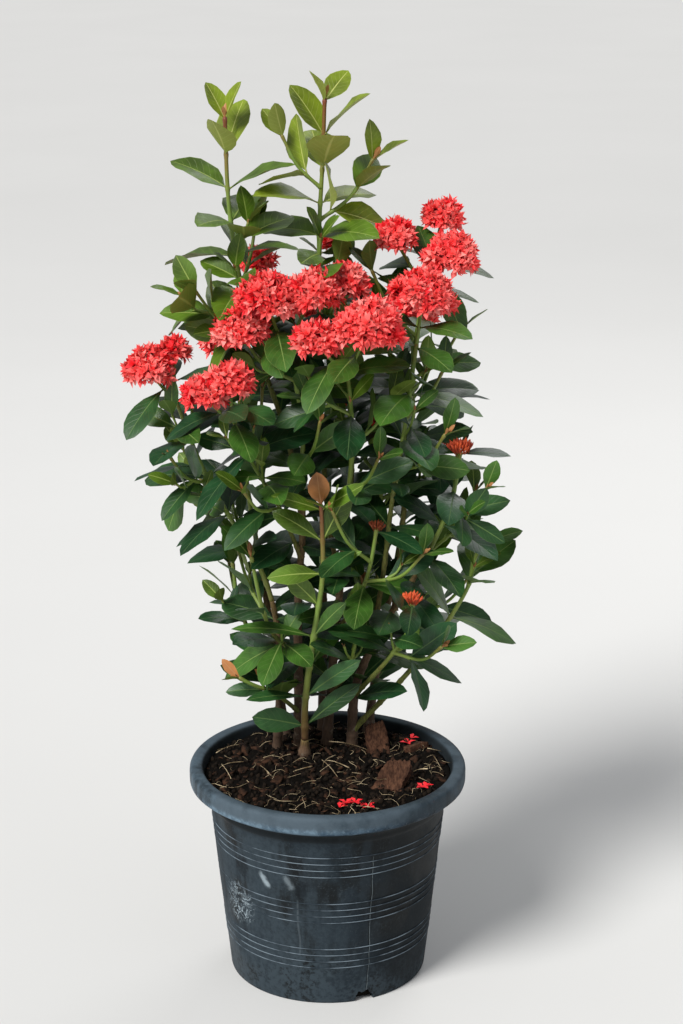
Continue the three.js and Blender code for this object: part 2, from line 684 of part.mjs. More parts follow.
// One leaf of a pair, turned or tipped until it is clear of everything, or none
function growLeaf(stem, pair, side) {
  const { point, tangent } = onAxis(stem, pair.part);
  const [first, second] = across(tangent);
  const draw = (number) => chance(stem.seed, 10 * pair.number + 5 * side + number) - 0.5;
  const radius = THREE.MathUtils.lerp(...stem.girth, pair.part);
  for (const [turn, tip] of LEAF_TRIES) {
    const bearing = rad(pair.bearing + 180 * side + LEAF_JITTER.bearing * draw(1) + turn);
    const pitch = rad(pair.pitch + LEAF_JITTER.pitch * draw(2) + tip);
    const out = blend(first, Math.cos(bearing), second, Math.sin(bearing));
    const along = blend(out, Math.sin(pitch), tangent, Math.cos(pitch));
    const up = blend(tangent, Math.sin(pitch), out, -Math.cos(pitch));
    up.add(LIGHT);
    up.addScaledVector(along, -up.dot(along)).normalize();
    up.applyAxisAngle(along, rad(LEAF_JITTER.roll * draw(3)));
    const length = pair.length * (1 + LEAF_JITTER.length * draw(4));
    const leaf = {
      root: point.clone().addScaledVector(out, -ROOT_PAST_AXIS * radius),
      along,
      up,
      length,
      width: length * LEAF_WIDTH * (stem.mass.slim ?? 1),
      droop: pair.droop,
    };
    const whole = leafSolid(leaf, 0, GAP);
    const blade = leafSolid(leaf, BARE_PART, GAP);
    const box = whole.boundingBox();
    const inCrown = CROWN.containsPoint(vector(box.min)) && CROWN.containsPoint(vector(box.max));
    const stranger = (other) => other.mass !== stem.mass.name;
    const kin = (other) => !stranger(other)
      && (other.stem !== stem.name || (other.pair !== undefined && other.pair !== pair.number));
    if (inCrown && !meets(whole, stranger) && !meets(blade, kin)) {
      settle(whole, stem.mass.name, stem.name, pair.number);
      return leafSolid(leaf);
    }
  }
  return null;
}

// The stalk that carries a head of blossom from the tip of a stem. A long one bears leaves.
function headStalk(stem, number, [x, y, z]) {
  const { point, tangent } = stem.stretch.at(1);
  const centre = new THREE.Vector3(x, y, z);
  const foot = point.clone().addScaledVector(tangent, -STALK_SUNK);
  const bend = point.clone().lerp(centre, 0.5).addScaledVector(UP, -STALK_SAG);
  return {
    name: `${stem.name}_stalk_${number}`,
    mass: stem.mass,
    seed: stem.seed + 0.05 * (number + 1),
    ends: "head",
    phase: 180 * chance(stem.seed, number),
    leaf: stem.leaf * STALK_LEAF,
    stretch: new Stretch([foot, bend, centre], 0, 2),
    girth: STALK_GIRTH,
    sides: STALK_SIDES,
    rows: 2,
    axils: [],
  };
}

// Every mass: stems, buds and heads first, then twigs, and then the leaves, which keep clear of
// them all
const masses = Object.entries(MASSES).map(([name, mass], index) => {
  Object.assign(mass, { name, seed: index + 1 });
  const stem = mainStem(name, mass);
  settle(stemSolid(stem, GAP), name, name);
  return { name, mass, stems: [stem], parts: [stemSolid(stem, 0, GAP)] };
});

// The buds of a stem, placed and joined to its mass
function addBuds(entry, stem, radius) {
  settle(budSolid(stem, radius + GAP), entry.name, `${stem.name}_end`);
  entry.parts.push(budSolid(stem, radius));
}

for (const entry of masses) {
  if (entry.mass.ends === "buds") {
    addBuds(entry, entry.stems[0], entry.mass.buds);
  }
  for (const [number, head] of (entry.mass.heads ?? []).entries()) {
    const stalk = headStalk(entry.stems[0], number, head);
    const blossom = headSolid(vector(head.slice(0, 3)), head[3], stalk.seed);
    entry.stems.push(stalk);
    settle(stemSolid(stalk, GAP), entry.name, stalk.name);
    settle(blossom, entry.name, `${entry.name}_end`);
    entry.parts.push(stemSolid(stalk), blossom);
  }
}
for (const entry of masses) {
  for (const [number, spec] of entry.mass.twigs.entries()) {
    const twig = sideTwig(entry.stems[0], number, spec);
    if (twig) {
      entry.stems.push(twig);
      settle(stemSolid(twig, GAP), entry.name, twig.name);
      entry.parts.push(stemSolid(twig));
      if (twig.ends === "buds") {
        addBuds(entry, twig, TWIG_BUDS);
      }
    }
  }
}

// Whether a twig has taken the axil of a leaf, which has then fallen
function axilTaken(stem, pair, side) {
  return stem.axils.some(({ part, bearing }) => (
    Math.abs(part - pair.part) * stem.stretch.length < AXIL_REACH
      && Math.cos(rad(bearing - pair.bearing - 180 * side)) > AXIL_COSINE
  ));
}

for (const { stems, parts } of masses) {
  for (const stem of stems) {
    for (const pair of pairsOf(stem)) {
      for (const side of [0, 1]) {
        const leaf = axilTaken(stem, pair, side) ? null : growLeaf(stem, pair, side);
        if (leaf) {
          parts.push(leaf);
        }
      }
    }
  }
}

// The whole plant
const group = new THREE.Group();
group.add(meshOf("pot", pot, MATERIALS.pot), meshOf("potting_mix", mix, MATERIALS.mix));
for (const [name, chip] of Object.entries(chips)) {
  group.add(meshOf(name, chip, MATERIALS.bark_chip));
}
for (const [name, limb] of Object.entries(limbs)) {
  group.add(meshOf(name, limb, MATERIALS.cane));
}
for (const { name, parts } of masses) {
  const joined = wasm.Manifold.union(parts).simplify(FINEST);
  group.add(meshOf(name, largestPiece(joined), MATERIALS.foliage));
}

export default group;
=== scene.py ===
# %% [markdown]
# # A potted ixora in flower
# This notebook dresses a plant whose solids already stand in their true places. The solids give
# the pot, the canes and boughs, and one rough mass for each spray of foliage. Here every mass
# grows again by the same rule, with finer twigs, real leaves and blossom, and the pot, the mix
# and the bark get the surface that a close look shows.
# Sizes are in millimetres, as on the solids, until a mesh is made: Blender's own unit is metres.

# %% The tools and the frame
import json
from functools import partialmethod
from math import acos, cos, degrees, exp, pi, radians, sin

import bmesh
import bpy
import numpy as np
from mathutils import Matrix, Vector
from mathutils.bvhtree import BVHTree

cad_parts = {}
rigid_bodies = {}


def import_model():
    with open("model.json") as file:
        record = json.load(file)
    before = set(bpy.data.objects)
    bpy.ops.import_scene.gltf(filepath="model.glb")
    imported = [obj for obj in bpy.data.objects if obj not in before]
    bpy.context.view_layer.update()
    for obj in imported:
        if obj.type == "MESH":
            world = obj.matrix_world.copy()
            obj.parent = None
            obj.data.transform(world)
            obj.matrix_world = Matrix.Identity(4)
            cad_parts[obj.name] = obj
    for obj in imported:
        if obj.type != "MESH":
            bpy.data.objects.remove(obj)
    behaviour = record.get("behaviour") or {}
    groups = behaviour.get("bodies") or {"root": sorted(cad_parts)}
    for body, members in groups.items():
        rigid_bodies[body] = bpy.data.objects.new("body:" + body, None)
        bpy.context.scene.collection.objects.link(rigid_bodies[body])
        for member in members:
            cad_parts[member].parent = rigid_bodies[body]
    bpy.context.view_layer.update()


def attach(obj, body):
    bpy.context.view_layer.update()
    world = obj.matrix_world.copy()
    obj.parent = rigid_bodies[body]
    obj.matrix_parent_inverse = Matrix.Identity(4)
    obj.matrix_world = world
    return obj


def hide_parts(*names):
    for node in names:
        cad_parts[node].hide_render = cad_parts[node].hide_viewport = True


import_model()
METRES = 0.001

# %% [markdown]
# ## Camera, floor and light
# The plant was pictured from a little above, through a long lens, so the pot's rim is a flat
# ellipse and the uprights hardly lean. A lens of 84 mm at 2.4 m, tipped 17 degrees down, gives
# the same view. A pale floor and soft light show it plainly: a broad sun high on the left, a weak
# lamp on the right to open the shadows, one behind for the edges of the leaves, and a pale sky.

# %% Camera
scene = bpy.context.scene


def stand(name, data):
    """An object of its own for a mesh, a lamp or a camera"""
    made = bpy.data.objects.new(name, data)
    scene.collection.objects.link(made)
    return made


camera = stand("view_camera", bpy.data.cameras.new("view_camera"))
camera.data.sensor_width, camera.data.lens = 36, 84.375
camera.location = (0.015, -2.393, 1.266)
camera.rotation_euler = (radians(72.6), 0, 0)
scene.camera = camera
scene.view_settings.view_transform = "Standard"
print("camera height", camera.location.z)

# %% A soft sun, two soft lamps and a pale sky
# A lamp is given by its kind, its settings, its place and what it looks at
LAMPS = {
    "soft_sun": ("SUN", {"energy": 3.45, "angle": radians(24), "color": (1.0, 0.985, 0.96)},
                 (0, 0, 0), (1.8, 2.0, -2.5)),
    "fill_lamp": ("AREA", {"energy": 6, "size": 1.6, "color": (0.93, 0.96, 1.0)},
                  (2.1, -1.7, 1.3), (0, 0, 0.5)),
    "edge_lamp": ("AREA", {"energy": 16, "size": 1.2}, (0.9, 2.1, 2.3), (0, 0, 0.6)),
}
for name, (kind, settings, place, aim) in LAMPS.items():
    lamp = stand(name, bpy.data.lights.new(name, kind))
    for key, setting in settings.items():
        setattr(lamp.data, key, setting)
    lamp.location = place
    lamp.rotation_euler = (Vector(aim) - Vector(place)).to_track_quat("-Z", "Y").to_euler()
scene.world = bpy.data.worlds.new("pale_sky")
scene.world.use_nodes = True
sky = scene.world.node_tree.nodes["Background"].inputs
sky["Color"].default_value, sky["Strength"].default_value = (0.86, 0.88, 0.92, 1), 0.34
print("lamps:", ", ".join(LAMPS))

# %% [markdown]
# ## Nodes written as sums
# A material is a small sum over the surface: so much dust here, so much gloss there. Wrapped in
# one class, a socket can be added and multiplied like a number, and each sign lays down its Math
# node. Every other node comes from one method, which sets the node's settings first and then
# its values and links. The same two classes serve the Geometry Nodes further down.


# %% A socket that can stand in a sum
class Flow:
    """The output of a node, with the signs of arithmetic"""

    def __init__(self, graph, socket):
        self.graph, self.socket = graph, socket

    def sum(self, operation, *others):
        return self.graph.node("ShaderNodeMath", {"operation": operation},
                               dict(enumerate([self, *others])))

    __add__ = __radd__ = partialmethod(sum, "ADD")
    __mul__ = __rmul__ = partialmethod(sum, "MULTIPLY")
    __sub__ = partialmethod(sum, "SUBTRACT")
    __truediv__ = partialmethod(sum, "DIVIDE")
    __pow__ = partialmethod(sum, "POWER")

    def __rsub__(self, other):
        return self.graph.node("ShaderNodeMath", {"operation": "SUBTRACT"}, {0: other, 1: self})

    def steps(self, low, high, at_low=0.0, at_high=1.0):
        """A smooth change from one value to another between two places"""
        return self.graph.node("ShaderNodeMapRange", {"interpolation_type": "SMOOTHSTEP"}, {
            "Value": self, "From Min": low, "From Max": high,
            "To Min": at_low, "To Max": at_high})


print("signs of a flow:", [name for name, sign in vars(Flow).items() if isinstance(sign, partialmethod)])


# %% A node tree that is written from Python
class Graph:
    """A node tree, with a method for each node that is often needed"""

    def __init__(self, tree):
        self.tree = tree

    def node(self, kind, settings=None, values=None, out=0):
        made = self.tree.nodes.new(kind)
        for name, setting in (settings or {}).items():
            setattr(made, name, setting)
        for key, value in (values or {}).items():
            if isinstance(value, Flow):
                self.tree.links.new(value.socket, made.inputs[key])
            elif value is not None:
                made.inputs[key].default_value = value
        return Flow(self, made.outputs[out])

    def mix(self, share, one, other):
        """Two colours mixed: none of the other at 0, all of it at 1"""
        pick = {"data_type": "RGBA", "clamp_factor": True}
        one, other = ((*c, 1) if isinstance(c, tuple) else c for c in (one, other))
        return self.node("ShaderNodeMix", pick, {0: share, 6: one, 7: other}, out=2)

    def layers(self, base, *coats):
        """Coats of colour over a base, each with its share"""
        for share, colour in coats:
            base = self.mix(share, base, linear(*colour) if isinstance(colour, tuple) else colour)
        return base

    def ramp(self, tone, *stops):
        """A colour for a tone, between stops that are a place and a colour each"""
        made = self.node("ShaderNodeValToRGB", {}, {"Fac": tone})
        elements = made.socket.node.color_ramp.elements
        for place, _ in stops[2:]:
            elements.new(place)
        for element, (place, colour) in zip(elements, stops):
            element.position, element.color = place, (*linear(*colour), 1)
        return made

    def noise(self, where, scale, detail=2.0, roughness=0.5):
        return self.node("ShaderNodeTexNoise", {}, {
            "Vector": where, "Scale": scale, "Detail": detail, "Roughness": roughness})

    def bump(self, height, strength, distance):
        return self.node("ShaderNodeBump", {}, {
            "Height": height, "Strength": strength, "Distance": distance})

    def place(self, **changes):
        """A place on the object, in metres, or stretched and turned as told"""
        where = self.node("ShaderNodeTexCoord", out=3)
        return self.node("ShaderNodeMapping", {}, {"Vector": where, **changes}) if changes else where

    def vector(self, x=None, y=None, z=None):
        return self.node("ShaderNodeCombineXYZ", {}, {"X": x, "Y": y, "Z": z})

    def axes(self, where):
        """The three numbers of a place"""
        parted = self.node("ShaderNodeSeparateXYZ", {}, {0: where})
        return [Flow(self, socket) for socket in parted.socket.node.outputs]


print("a graph has", sum(callable(member) for member in vars(Graph).values()), "methods")


# %% Colours and finishes
def linear(red, green, blue):
    """A colour as it looks on a screen, from 0 to 255, as the light that a shader counts in"""
    def light(value):
        part = value / 255
        return part / 12.92 if part <= 0.04045 else ((part + 0.055) / 1.055) ** 2.4
    return light(red), light(green), light(blue)


def finish_of(name, look, *values):
    """A material whose shader's sockets are set by what look(graph, *values) returns"""
    made = bpy.data.materials.new(name)
    made.use_nodes = True
    graph = Graph(made.node_tree)
    shader = made.node_tree.nodes["Principled BSDF"]
    for key, value in look(graph, *values).items():
        if isinstance(value, Flow):
            made.node_tree.links.new(value.socket, shader.inputs[key])
        else:
            shader.inputs[key].default_value = value
    return made


print("middle grey is", [round(part, 3) for part in linear(128, 128, 128)])


# %% The floor
def floor_look(graph):
    patch = graph.noise(graph.place(), 1.5, 3)
    return {"Base Color": graph.mix(patch, (0.70, 0.70, 0.69), (0.74, 0.74, 0.73)),
            "Roughness": 0.85}


bpy.ops.mesh.primitive_circle_add(vertices=96, radius=30, fill_type="NGON")
floor = bpy.context.object
floor.name = "pale_floor"
floor.data.materials.append(finish_of("floor_paper", floor_look))
print("floor", tuple(round(side) for side in floor.dimensions[:2]), "m")

# %% [markdown]
# ## The habit of the plant
# An ixora is a clump of canes. Boughs leave the canes, and each bough's tip carries a spray: one
# stem with leaves in opposite pairs, every pair turned a quarter round from the one below, side
# twigs in some axils, and at the end a leader, buds or heads of blossom. The tables give each
# limb by the points that it passes, with its radius at foot and tip, and each spray by its stem,
# its leaf length and the bearing of its lowest pair. They are the tables of the solids.

# %% Sizes of the habit
GROUND = 222
GAP = 0.3
TWIG_ROOM = 8
INTERNODE = 42
FIRST_PAIR = 0.45
ABOVE_TOP_PAIR = 4
PAIR_TURN = 90
CANE_SIDES = 5
STEM_SIDES = 4
STALK_SIDES = 3
STEM_TIP_RADIUS = 2
TWIG_GIRTH = (2, 1.6)
TWIG_LENGTH = (58, 96)
TWIG_PITCH = 50
TWIG_LEAF = 0.9
STALK_LEAF = 0.84
STALK_WITH_LEAVES = 44
STALK_PAIR = {"number": 0, "part": 0.42, "pitch": 82, "droop": 0.1, "below": 1}
TWIG_BUDS = 9
TWIG_TURNS = (0, 25, -25, 50, -50, 90, -90, 180)
CANE_FLARE = 1.35
LEAF_WIDTH = 0.46
LEAF_LOWER = (0.35, 0.94)
LEAF_UPPER = (0.69, 0.86)
LEAF_KEEL = 1 / 48
KEEL_PART = 0.11
ROOT_PAST_AXIS = 0.3
BARE_PART = 0.14
LIGHT = np.array([0, -0.42, 0.56])
LEAF_JITTER = {"bearing": 22, "pitch": 18, "roll": 36, "length": 0.2}
LEAF_TRIES = ((0, 0), (16, 0), (-16, 0), (0, 14), (0, -14), (30, 8), (-30, 8), (45, 0), (-45, 0))
AXIL_REACH = 14
AXIL_COSINE = 0.8
STALK_GIRTH = (1.9, 1.6)
STALK_SUNK = 4
STALK_SAG = 3
HEAD_SIDES, HEAD_ROWS = 8, 4
HEAD_HOLLOW, HEAD_HOLLOW_SHARE = 0.82, 0.45
HEAD_FLATNESS = 0.88
BUD_SIDES, BUD_ROWS = 5, 3
SMALL_HEAD = 15
BUDS_PAST_TIP = 0.55
CROWN = np.array([[-214, -128, 232], [210, 218, 968]])
UP = np.array([0.0, 0.0, 1.0])
print("the crown is", CROWN[1] - CROWN[0], "mm")

# %% The limbs: canes that stand in the mix, and the boughs on them
LIMBS = dict(
    front_cane=dict(path=((-26, 36, GROUND), (-25, 31, 247)), girth=(6.4, 4)),
    centre_cane=dict(path=((-31, 62, GROUND), (-32, 46, 386), (-27, 40, 472), (-26, 32, 530)), girth=(6, 3)),
    left_cane=dict(path=((-56, 62, GROUND), (-52, 50, 330), (-60, 40, 404)), girth=(5, 2.8)),
    right_cane=dict(path=((26, 62, GROUND), (31, 56, 300), (60, 46, 372), (97, 33, 440)), girth=(6, 2.6)),
    mid_cane=dict(path=((-1, 76, GROUND), (4, 68, 300), (14, 48, 420), (20, 32, 500)), girth=(5.6, 3)),
    back_cane=dict(path=((-6, 108, GROUND), (-6, 122, 330), (-3, 132, 420)), girth=(5.6, 3.2)),
    back_left_cane=dict(path=((-48, 98, GROUND), (-62, 116, 330), (-74, 126, 410)), girth=(5.4, 3)),
    back_right_cane=dict(path=((44, 104, GROUND), (58, 112, 330), (72, 116, 400)), girth=(5.4, 3)),
    low_left_bough=dict(parent="centre_cane", path=((-31, 57, 268), (-56, 20, 304)), girth=(2.6, 2.1)),
    left_mid_bough=dict(parent="centre_cane", path=((-32, 50, 338), (-58, 22, 372)), girth=(2.8, 2.2)),
    left_inner_bough=dict(parent="centre_cane", path=((-28, 41, 452), (-40, 30, 486)), girth=(2.8, 2.2)),
    top_left_bough=dict(parent="centre_cane", path=((-27, 37, 500), (-42, 54, 580), (-68, 52, 664)),
        girth=(3, 2.5)),
    heart_bough=dict(parent="mid_cane", path=((9, 58, 362), (30, 26, 404)), girth=(2.8, 2.2)),
    low_mid_bough=dict(parent="mid_cane", path=((3, 69, 288), (20, 38, 318)), girth=(2.6, 2.1)),
    top_centre_bough=dict(parent="mid_cane", path=((13, 50, 408), (0, 74, 500), (-8, 72, 610)),
        girth=(3.2, 2.7)),
    upper_mid_bough=dict(parent="mid_cane", path=((17, 40, 462), (26, 60, 540), (24, 56, 600)),
        girth=(2.8, 2.3)),
    right_outer_bough=dict(parent="right_cane", path=((28, 60, 246), (85, 48, 315), (122, 39, 369)),
        girth=(3.2, 2.5)),
    low_right_bough=dict(parent="right_cane", path=((31, 57, 290), (56, 10, 337)), girth=(3, 2.4)),
    mid_right_bough=dict(parent="right_cane", path=((47, 51, 346), (60, 32, 440), (68, 20, 520)),
        girth=(3, 2.5)),
    top_right_bough=dict(parent="right_cane", path=((72, 42, 392), (82, 62, 500), (86, 60, 600)),
        girth=(3, 2.5)),
    inner_bough=dict(parent="back_right_cane", path=((54, 110, 310), (54, 92, 400), (56, 80, 470)),
        girth=(2.8, 2.2)),
    back_low_bough=dict(parent="back_cane", path=((-6, 116, 282), (-6, 146, 322)), girth=(2.6, 2.1)),
    back_left_low_bough=dict(parent="back_left_cane", path=((-57, 110, 300), (-80, 100, 330)),
        girth=(2.6, 2.1)),
    back_right_low_bough=dict(parent="back_right_cane", path=((52, 108, 292), (82, 108, 322)),
        girth=(2.6, 2.1)),
)
print(len(LIMBS), "limbs")

# %% The sprays
# A head is given by its centre and radius, a twig by its part of the stem, its bearing and what
# it ends in
MASSES = dict(
    front_shoot=dict(on="front_cane", ends="leader", leaf=80, slim=0.84, spacing=38, phase=10, turn=62,
        path=((-24, 20, 297), (-15, 5, 373), (-5, -8, 449), (-6, -20, 530))),
    low_left_spray=dict(on="low_left_bough", ends="leader", leaf=48, phase=0,
        path=((-80, 2, 322), (-95, -3, 332))),
    left_mid_spray=dict(on="left_mid_bough", ends="leader", leaf=76, phase=80,
        path=((-70, 6, 412), (-80, -2, 468)), twigs=((0.3, 90),)),
    low_mid_spray=dict(on="low_mid_bough", ends="leader", leaf=74, phase=20,
        path=((28, 22, 352), (32, 10, 392)), twigs=((0.5, 60),)),
    low_right_spray=dict(on="low_right_bough", ends="buds", buds=9, leaf=76, phase=0,
        path=((74, -8, 368), (88, -20, 398), (89, -28, 426)), twigs=((0.3, -50),)),
    heart_spray=dict(on="heart_bough", ends="buds", buds=9, leaf=74, phase=40,
        path=((44, 6, 450), (52, -5, 500)), twigs=((0.35, -30), (0.6, 200))),
    right_outer_shoot=dict(on="right_outer_bough", ends="leader", leaf=84, spread=24, phase=0,
        path=((149, 33, 419), (156, 32, 450), (164, 31, 472))),
    right_bud_spray=dict(on="right_cane", ends="buds", buds=14, leaf=71, phase=90,
        path=((123, 20, 500), (134, 14, 540), (139, 11, 580)), twigs=((0.16, 50), (0.5, -60))),
    left_outer_spray=dict(on="left_cane", ends="heads", leaf=76, phase=60,
        path=((-81, 30, 464), (-108, 25, 511), (-134, 20, 567), (-158, 16, 636)),
        heads=((-183, 5, 667, 26), (-158, 22, 681, 18)), twigs=((0.25, 100), (0.6, 240))),
    left_inner_spray=dict(on="left_inner_bough", ends="heads", leaf=78, phase=20,
        path=((-50, 20, 514), (-78, 0, 570), (-96, -20, 622)),
        heads=((-125, -34, 650, 23), (-98, -32, 662, 25)), twigs=((0.2, 250), (0.55, 60))),
    centre_spray=dict(on="centre_cane", ends="heads", leaf=78, phase=0,
        path=((-26, 22, 600), (-32, 12, 650), (-44, 4, 694)),
        heads=((-88, -14, 712, 28), (-60, -20, 744, 32), (-14, -10, 748, 29)),
        twigs=((0.2, -70), (0.5, 10), (0.75, 200))),
    mid_spray=dict(on="mid_cane", ends="heads", leaf=82, phase=80,
        path=((26, 10, 580), (24, -10, 640), (20, -22, 674)), heads=((-10, -40, 706, 26), (43, -46, 721, 34)),
        twigs=((0.2, -60), (0.5, 10), (0.7, 190))),
    upper_mid_spray=dict(on="upper_mid_bough", ends="heads", leaf=74, phase=0,
        path=((22, 46, 650), (20, 38, 714)), heads=((18, 32, 749, 26),), twigs=((0.3, 100), (0.6, -80))),
    mid_right_spray=dict(on="mid_right_bough", ends="heads", leaf=78, phase=40,
        path=((80, 8, 600), (92, 2, 696)), heads=((97, 2, 742, 34),), twigs=((0.2, -40), (0.55, 30))),
    inner_spray=dict(on="inner_bough", ends="buds", buds=13, leaf=74, phase=30,
        path=((58, 70, 530), (58, 60, 592)), twigs=((0.3, 0), (0.5, 170, "buds"))),
    top_left_shoot=dict(on="top_left_bough", ends="leader", leaf=74, spacing=34, phase=70,
        path=((-89, 38, 753), (-100, 40, 832), (-103, 41, 922)), twigs=((0.14, 215), (0.34, 60))),
    top_centre_shoot=dict(on="top_centre_bough", ends="leader", leaf=76, spacing=34, phase=20, turn=62,
        path=((-8, 62, 700), (-8, 58, 801), (-4, 60, 880), (-2, 60, 938)),
        twigs=((0.24, 60), (0.72, 180), (0.62, 0))),
    top_right_spray=dict(on="top_right_bough", ends="heads", leaf=74, phase=0,
        path=((92, 55, 682), (102, 60, 745)),
        heads=((70, 54, 794, 23), (120, 86, 810, 22), (127, 36, 777, 28)), twigs=((0.3, 0), (0.62, 190))),
    back_left_spray=dict(on="back_left_cane", ends="heads", leaf=80, phase=30,
        path=((-88, 134, 500), (-96, 136, 580), (-92, 128, 650)),
        heads=((-73, 112, 758, 20), (-112, 140, 664, 26)), twigs=((0.2, 180), (0.55, 90))),
    back_spray=dict(on="back_cane", ends="heads", leaf=80, phase=75,
        path=((2, 146, 520), (6, 152, 610), (4, 148, 674)), heads=((8, 132, 774, 16), (-16, 168, 692, 27)),
        twigs=((0.2, 40), (0.55, 150))),
    back_right_spray=dict(on="back_right_cane", ends="heads", leaf=80, phase=10,
        path=((84, 126, 480), (92, 132, 570), (92, 142, 648)), heads=((92, 156, 690, 27),),
        twigs=((0.12, 10), (0.42, -45, "buds"), (0.7, 100))),
    back_low_spray=dict(on="back_low_bough", ends="leader", leaf=76, phase=0,
        path=((-8, 168, 380), (-8, 178, 440)), twigs=((0.4, 20),)),
    back_left_low_spray=dict(on="back_left_low_bough", ends="leader", leaf=67, phase=45,
        path=((-98, 94, 382), (-104, 92, 430)), twigs=((0.4, 100),)),
    back_right_low_spray=dict(on="back_right_low_bough", ends="leader", leaf=76, phase=45,
        path=((102, 110, 372), (110, 112, 430)), twigs=((0.4, 0),)),
)
for index, (name, mass) in enumerate(MASSES.items()):
    mass["name"], mass["seed"] = name, index + 1
print(len(MASSES), "sprays")

# %% [markdown]
# ## Curves, and the two directions across them
# A limb could be a bent cylinder, but its line has to run on smoothly into the stem that it
# carries. A smooth curve through the points does that: limb and stem share the points on each
# side of the joint, so both have the same direction there.


# %% A stretch of a smooth curve
def unit(vectors):
    return vectors / np.linalg.norm(vectors, axis=-1, keepdims=True)


def across(tangents):
    """The two directions across a stem, the first as near +X as the stem allows"""
    first = unit(np.array([1.0, 0, 0]) - tangents * tangents[..., :1])
    return first, np.cross(tangents, first)


def blend(one, share, other, other_share):
    return one * share + other * other_share


def sideways(tangent, bearing):
    """The direction across a stem at a bearing, in radians"""
    first, second = across(tangent)
    return blend(first, cos(bearing), second, sin(bearing))


def turned(x, y, angle):
    """A place turned about an axis"""
    return x * cos(angle) - y * sin(angle), x * sin(angle) + y * cos(angle)


class Stretch:
    """The part of a curve through points that runs from one of them to another"""

    def __init__(self, points, first, last):
        places = np.array(points, float)
        self.spans = len(places) - 1
        self.points = np.vstack([2 * places[0] - places[1], places, 2 * places[-1] - places[-2]])
        self.marks = np.linspace(0, 1, 201)
        steps = np.linalg.norm(np.diff(self.on_curve(self.marks), axis=0), axis=1)
        self.lengths = np.concatenate([[0], np.cumsum(steps)])
        ends = np.interp([first / self.spans, last / self.spans], self.marks, self.lengths)
        self.start, self.length = ends[0], ends[1] - ends[0]

    def on_curve(self, mark):
        place = np.clip(mark, 0, 1) * self.spans
        span = np.minimum(place.astype(int), self.spans - 1)
        w = (place - span)[:, None]
        before, here, there, after = (self.points[span + n] for n in range(4))
        leaving, reaching = 0.5 * (there - before), 0.5 * (after - here)
        return (here + w * leaving + w**2 * (3 * (there - here) - 2 * leaving - reaching)
                + w**3 * (2 * (here - there) + leaving + reaching))

    def at(self, parts):
        """Points and directions at parts of the stretch, from 0 to 1"""
        target = np.minimum(self.start + self.length * np.atleast_1d(parts), self.lengths[-1])
        mark = np.interp(target, self.lengths, self.marks)
        ahead = self.on_curve(np.minimum(mark + 1e-4, 1)) - self.on_curve(np.maximum(mark - 1e-4, 0))
        return self.on_curve(mark), unit(ahead)

    def tip(self):
        return [row[0] for row in self.at(1)]


def chance(seed, draw):
    """A seeded number from 0 to 1, the same on every run"""
    return sin(seed * 127.1 + draw * 311.7) * 43758.5453 % 1


def between(ends, share):
    return ends[0] + (ends[1] - ends[0]) * share


def limb_stretch(name):
    path = LIMBS[name]["path"]
    onward = next(mass for mass in MASSES.values() if mass["on"] == name)["path"][0]
    return Stretch([*path, onward], 0, len(path) - 1)


print("centre cane", round(limb_stretch("centre_cane").length), "mm long")


# %% Faces between rings of corners
def band(rows, sides, first=0, inward=False):
    """Four-cornered faces between rings that follow each other from a first corner"""
    faces = [(low + k, low + (k + 1) % sides, low + sides + (k + 1) % sides, low + sides + k)
             for low in range(first, first + rows * sides, sides) for k in range(sides)]
    return [(a, d, c, b) for a, b, c, d in faces] if inward else faces


def fan(apex, first, sides, inward=False):
    """Three-cornered faces between one corner and a ring"""
    pairs = [(first + k, first + (k + 1) % sides) for k in range(sides)]
    return [(apex, b, a) if inward else (apex, a, b) for a, b in pairs]


print("a tube of three rows and five sides has", len(band(3, 5)), "faces")


# %% [markdown]
# ## Growing without touching
# Leaves on a real plant turn to the light and slide past each other. The rule does it in steps:
# each twig and leaf is tried in a few positions, and the first that is clear of everything
# grown so far is kept. The tests use plain shapes of few faces, a little fatter than life, and
# Blender's BVH tree, which finds crossing faces quickly.

# %% What stands so far
standing = {"boxes": np.zeros((6000, 6)), "trees": [], "owners": []}


def settle(shape, mass, stem, pair=None):
    """Adds a shape to what the next ones have to keep clear of"""
    corners, faces = shape
    standing["boxes"][len(standing["trees"])] = np.concatenate([corners.min(0), corners.max(0)])
    standing["trees"].append(BVHTree.FromPolygons(corners.tolist(), faces))
    standing["owners"].append((mass, stem, pair))


def meets(shape, counts=lambda *owner: True):
    """Whether a shape crosses one of those that count"""
    corners, faces = shape
    boxes = standing["boxes"][:len(standing["trees"])]
    near = np.all(boxes[:, :3] <= corners.max(0), axis=1) & np.all(boxes[:, 3:] >= corners.min(0), axis=1)
    near = [index for index in np.nonzero(near)[0] if counts(*standing["owners"][index])]
    tree = BVHTree.FromPolygons(corners.tolist(), faces) if near else None
    return any(tree.overlap(standing["trees"][index]) for index in near)


print("room for", len(standing["boxes"]), "shapes")


# %% Plain shapes
def ringed(stretch, parts, radii, angles):
    """Corners in rings along a stretch"""
    points, tangents = stretch.at(parts)
    first, second = across(tangents)
    return points[:, None] + radii[..., None] * (
        first[:, None] * np.cos(angles)[None, :, None] + second[:, None] * np.sin(angles)[None, :, None])


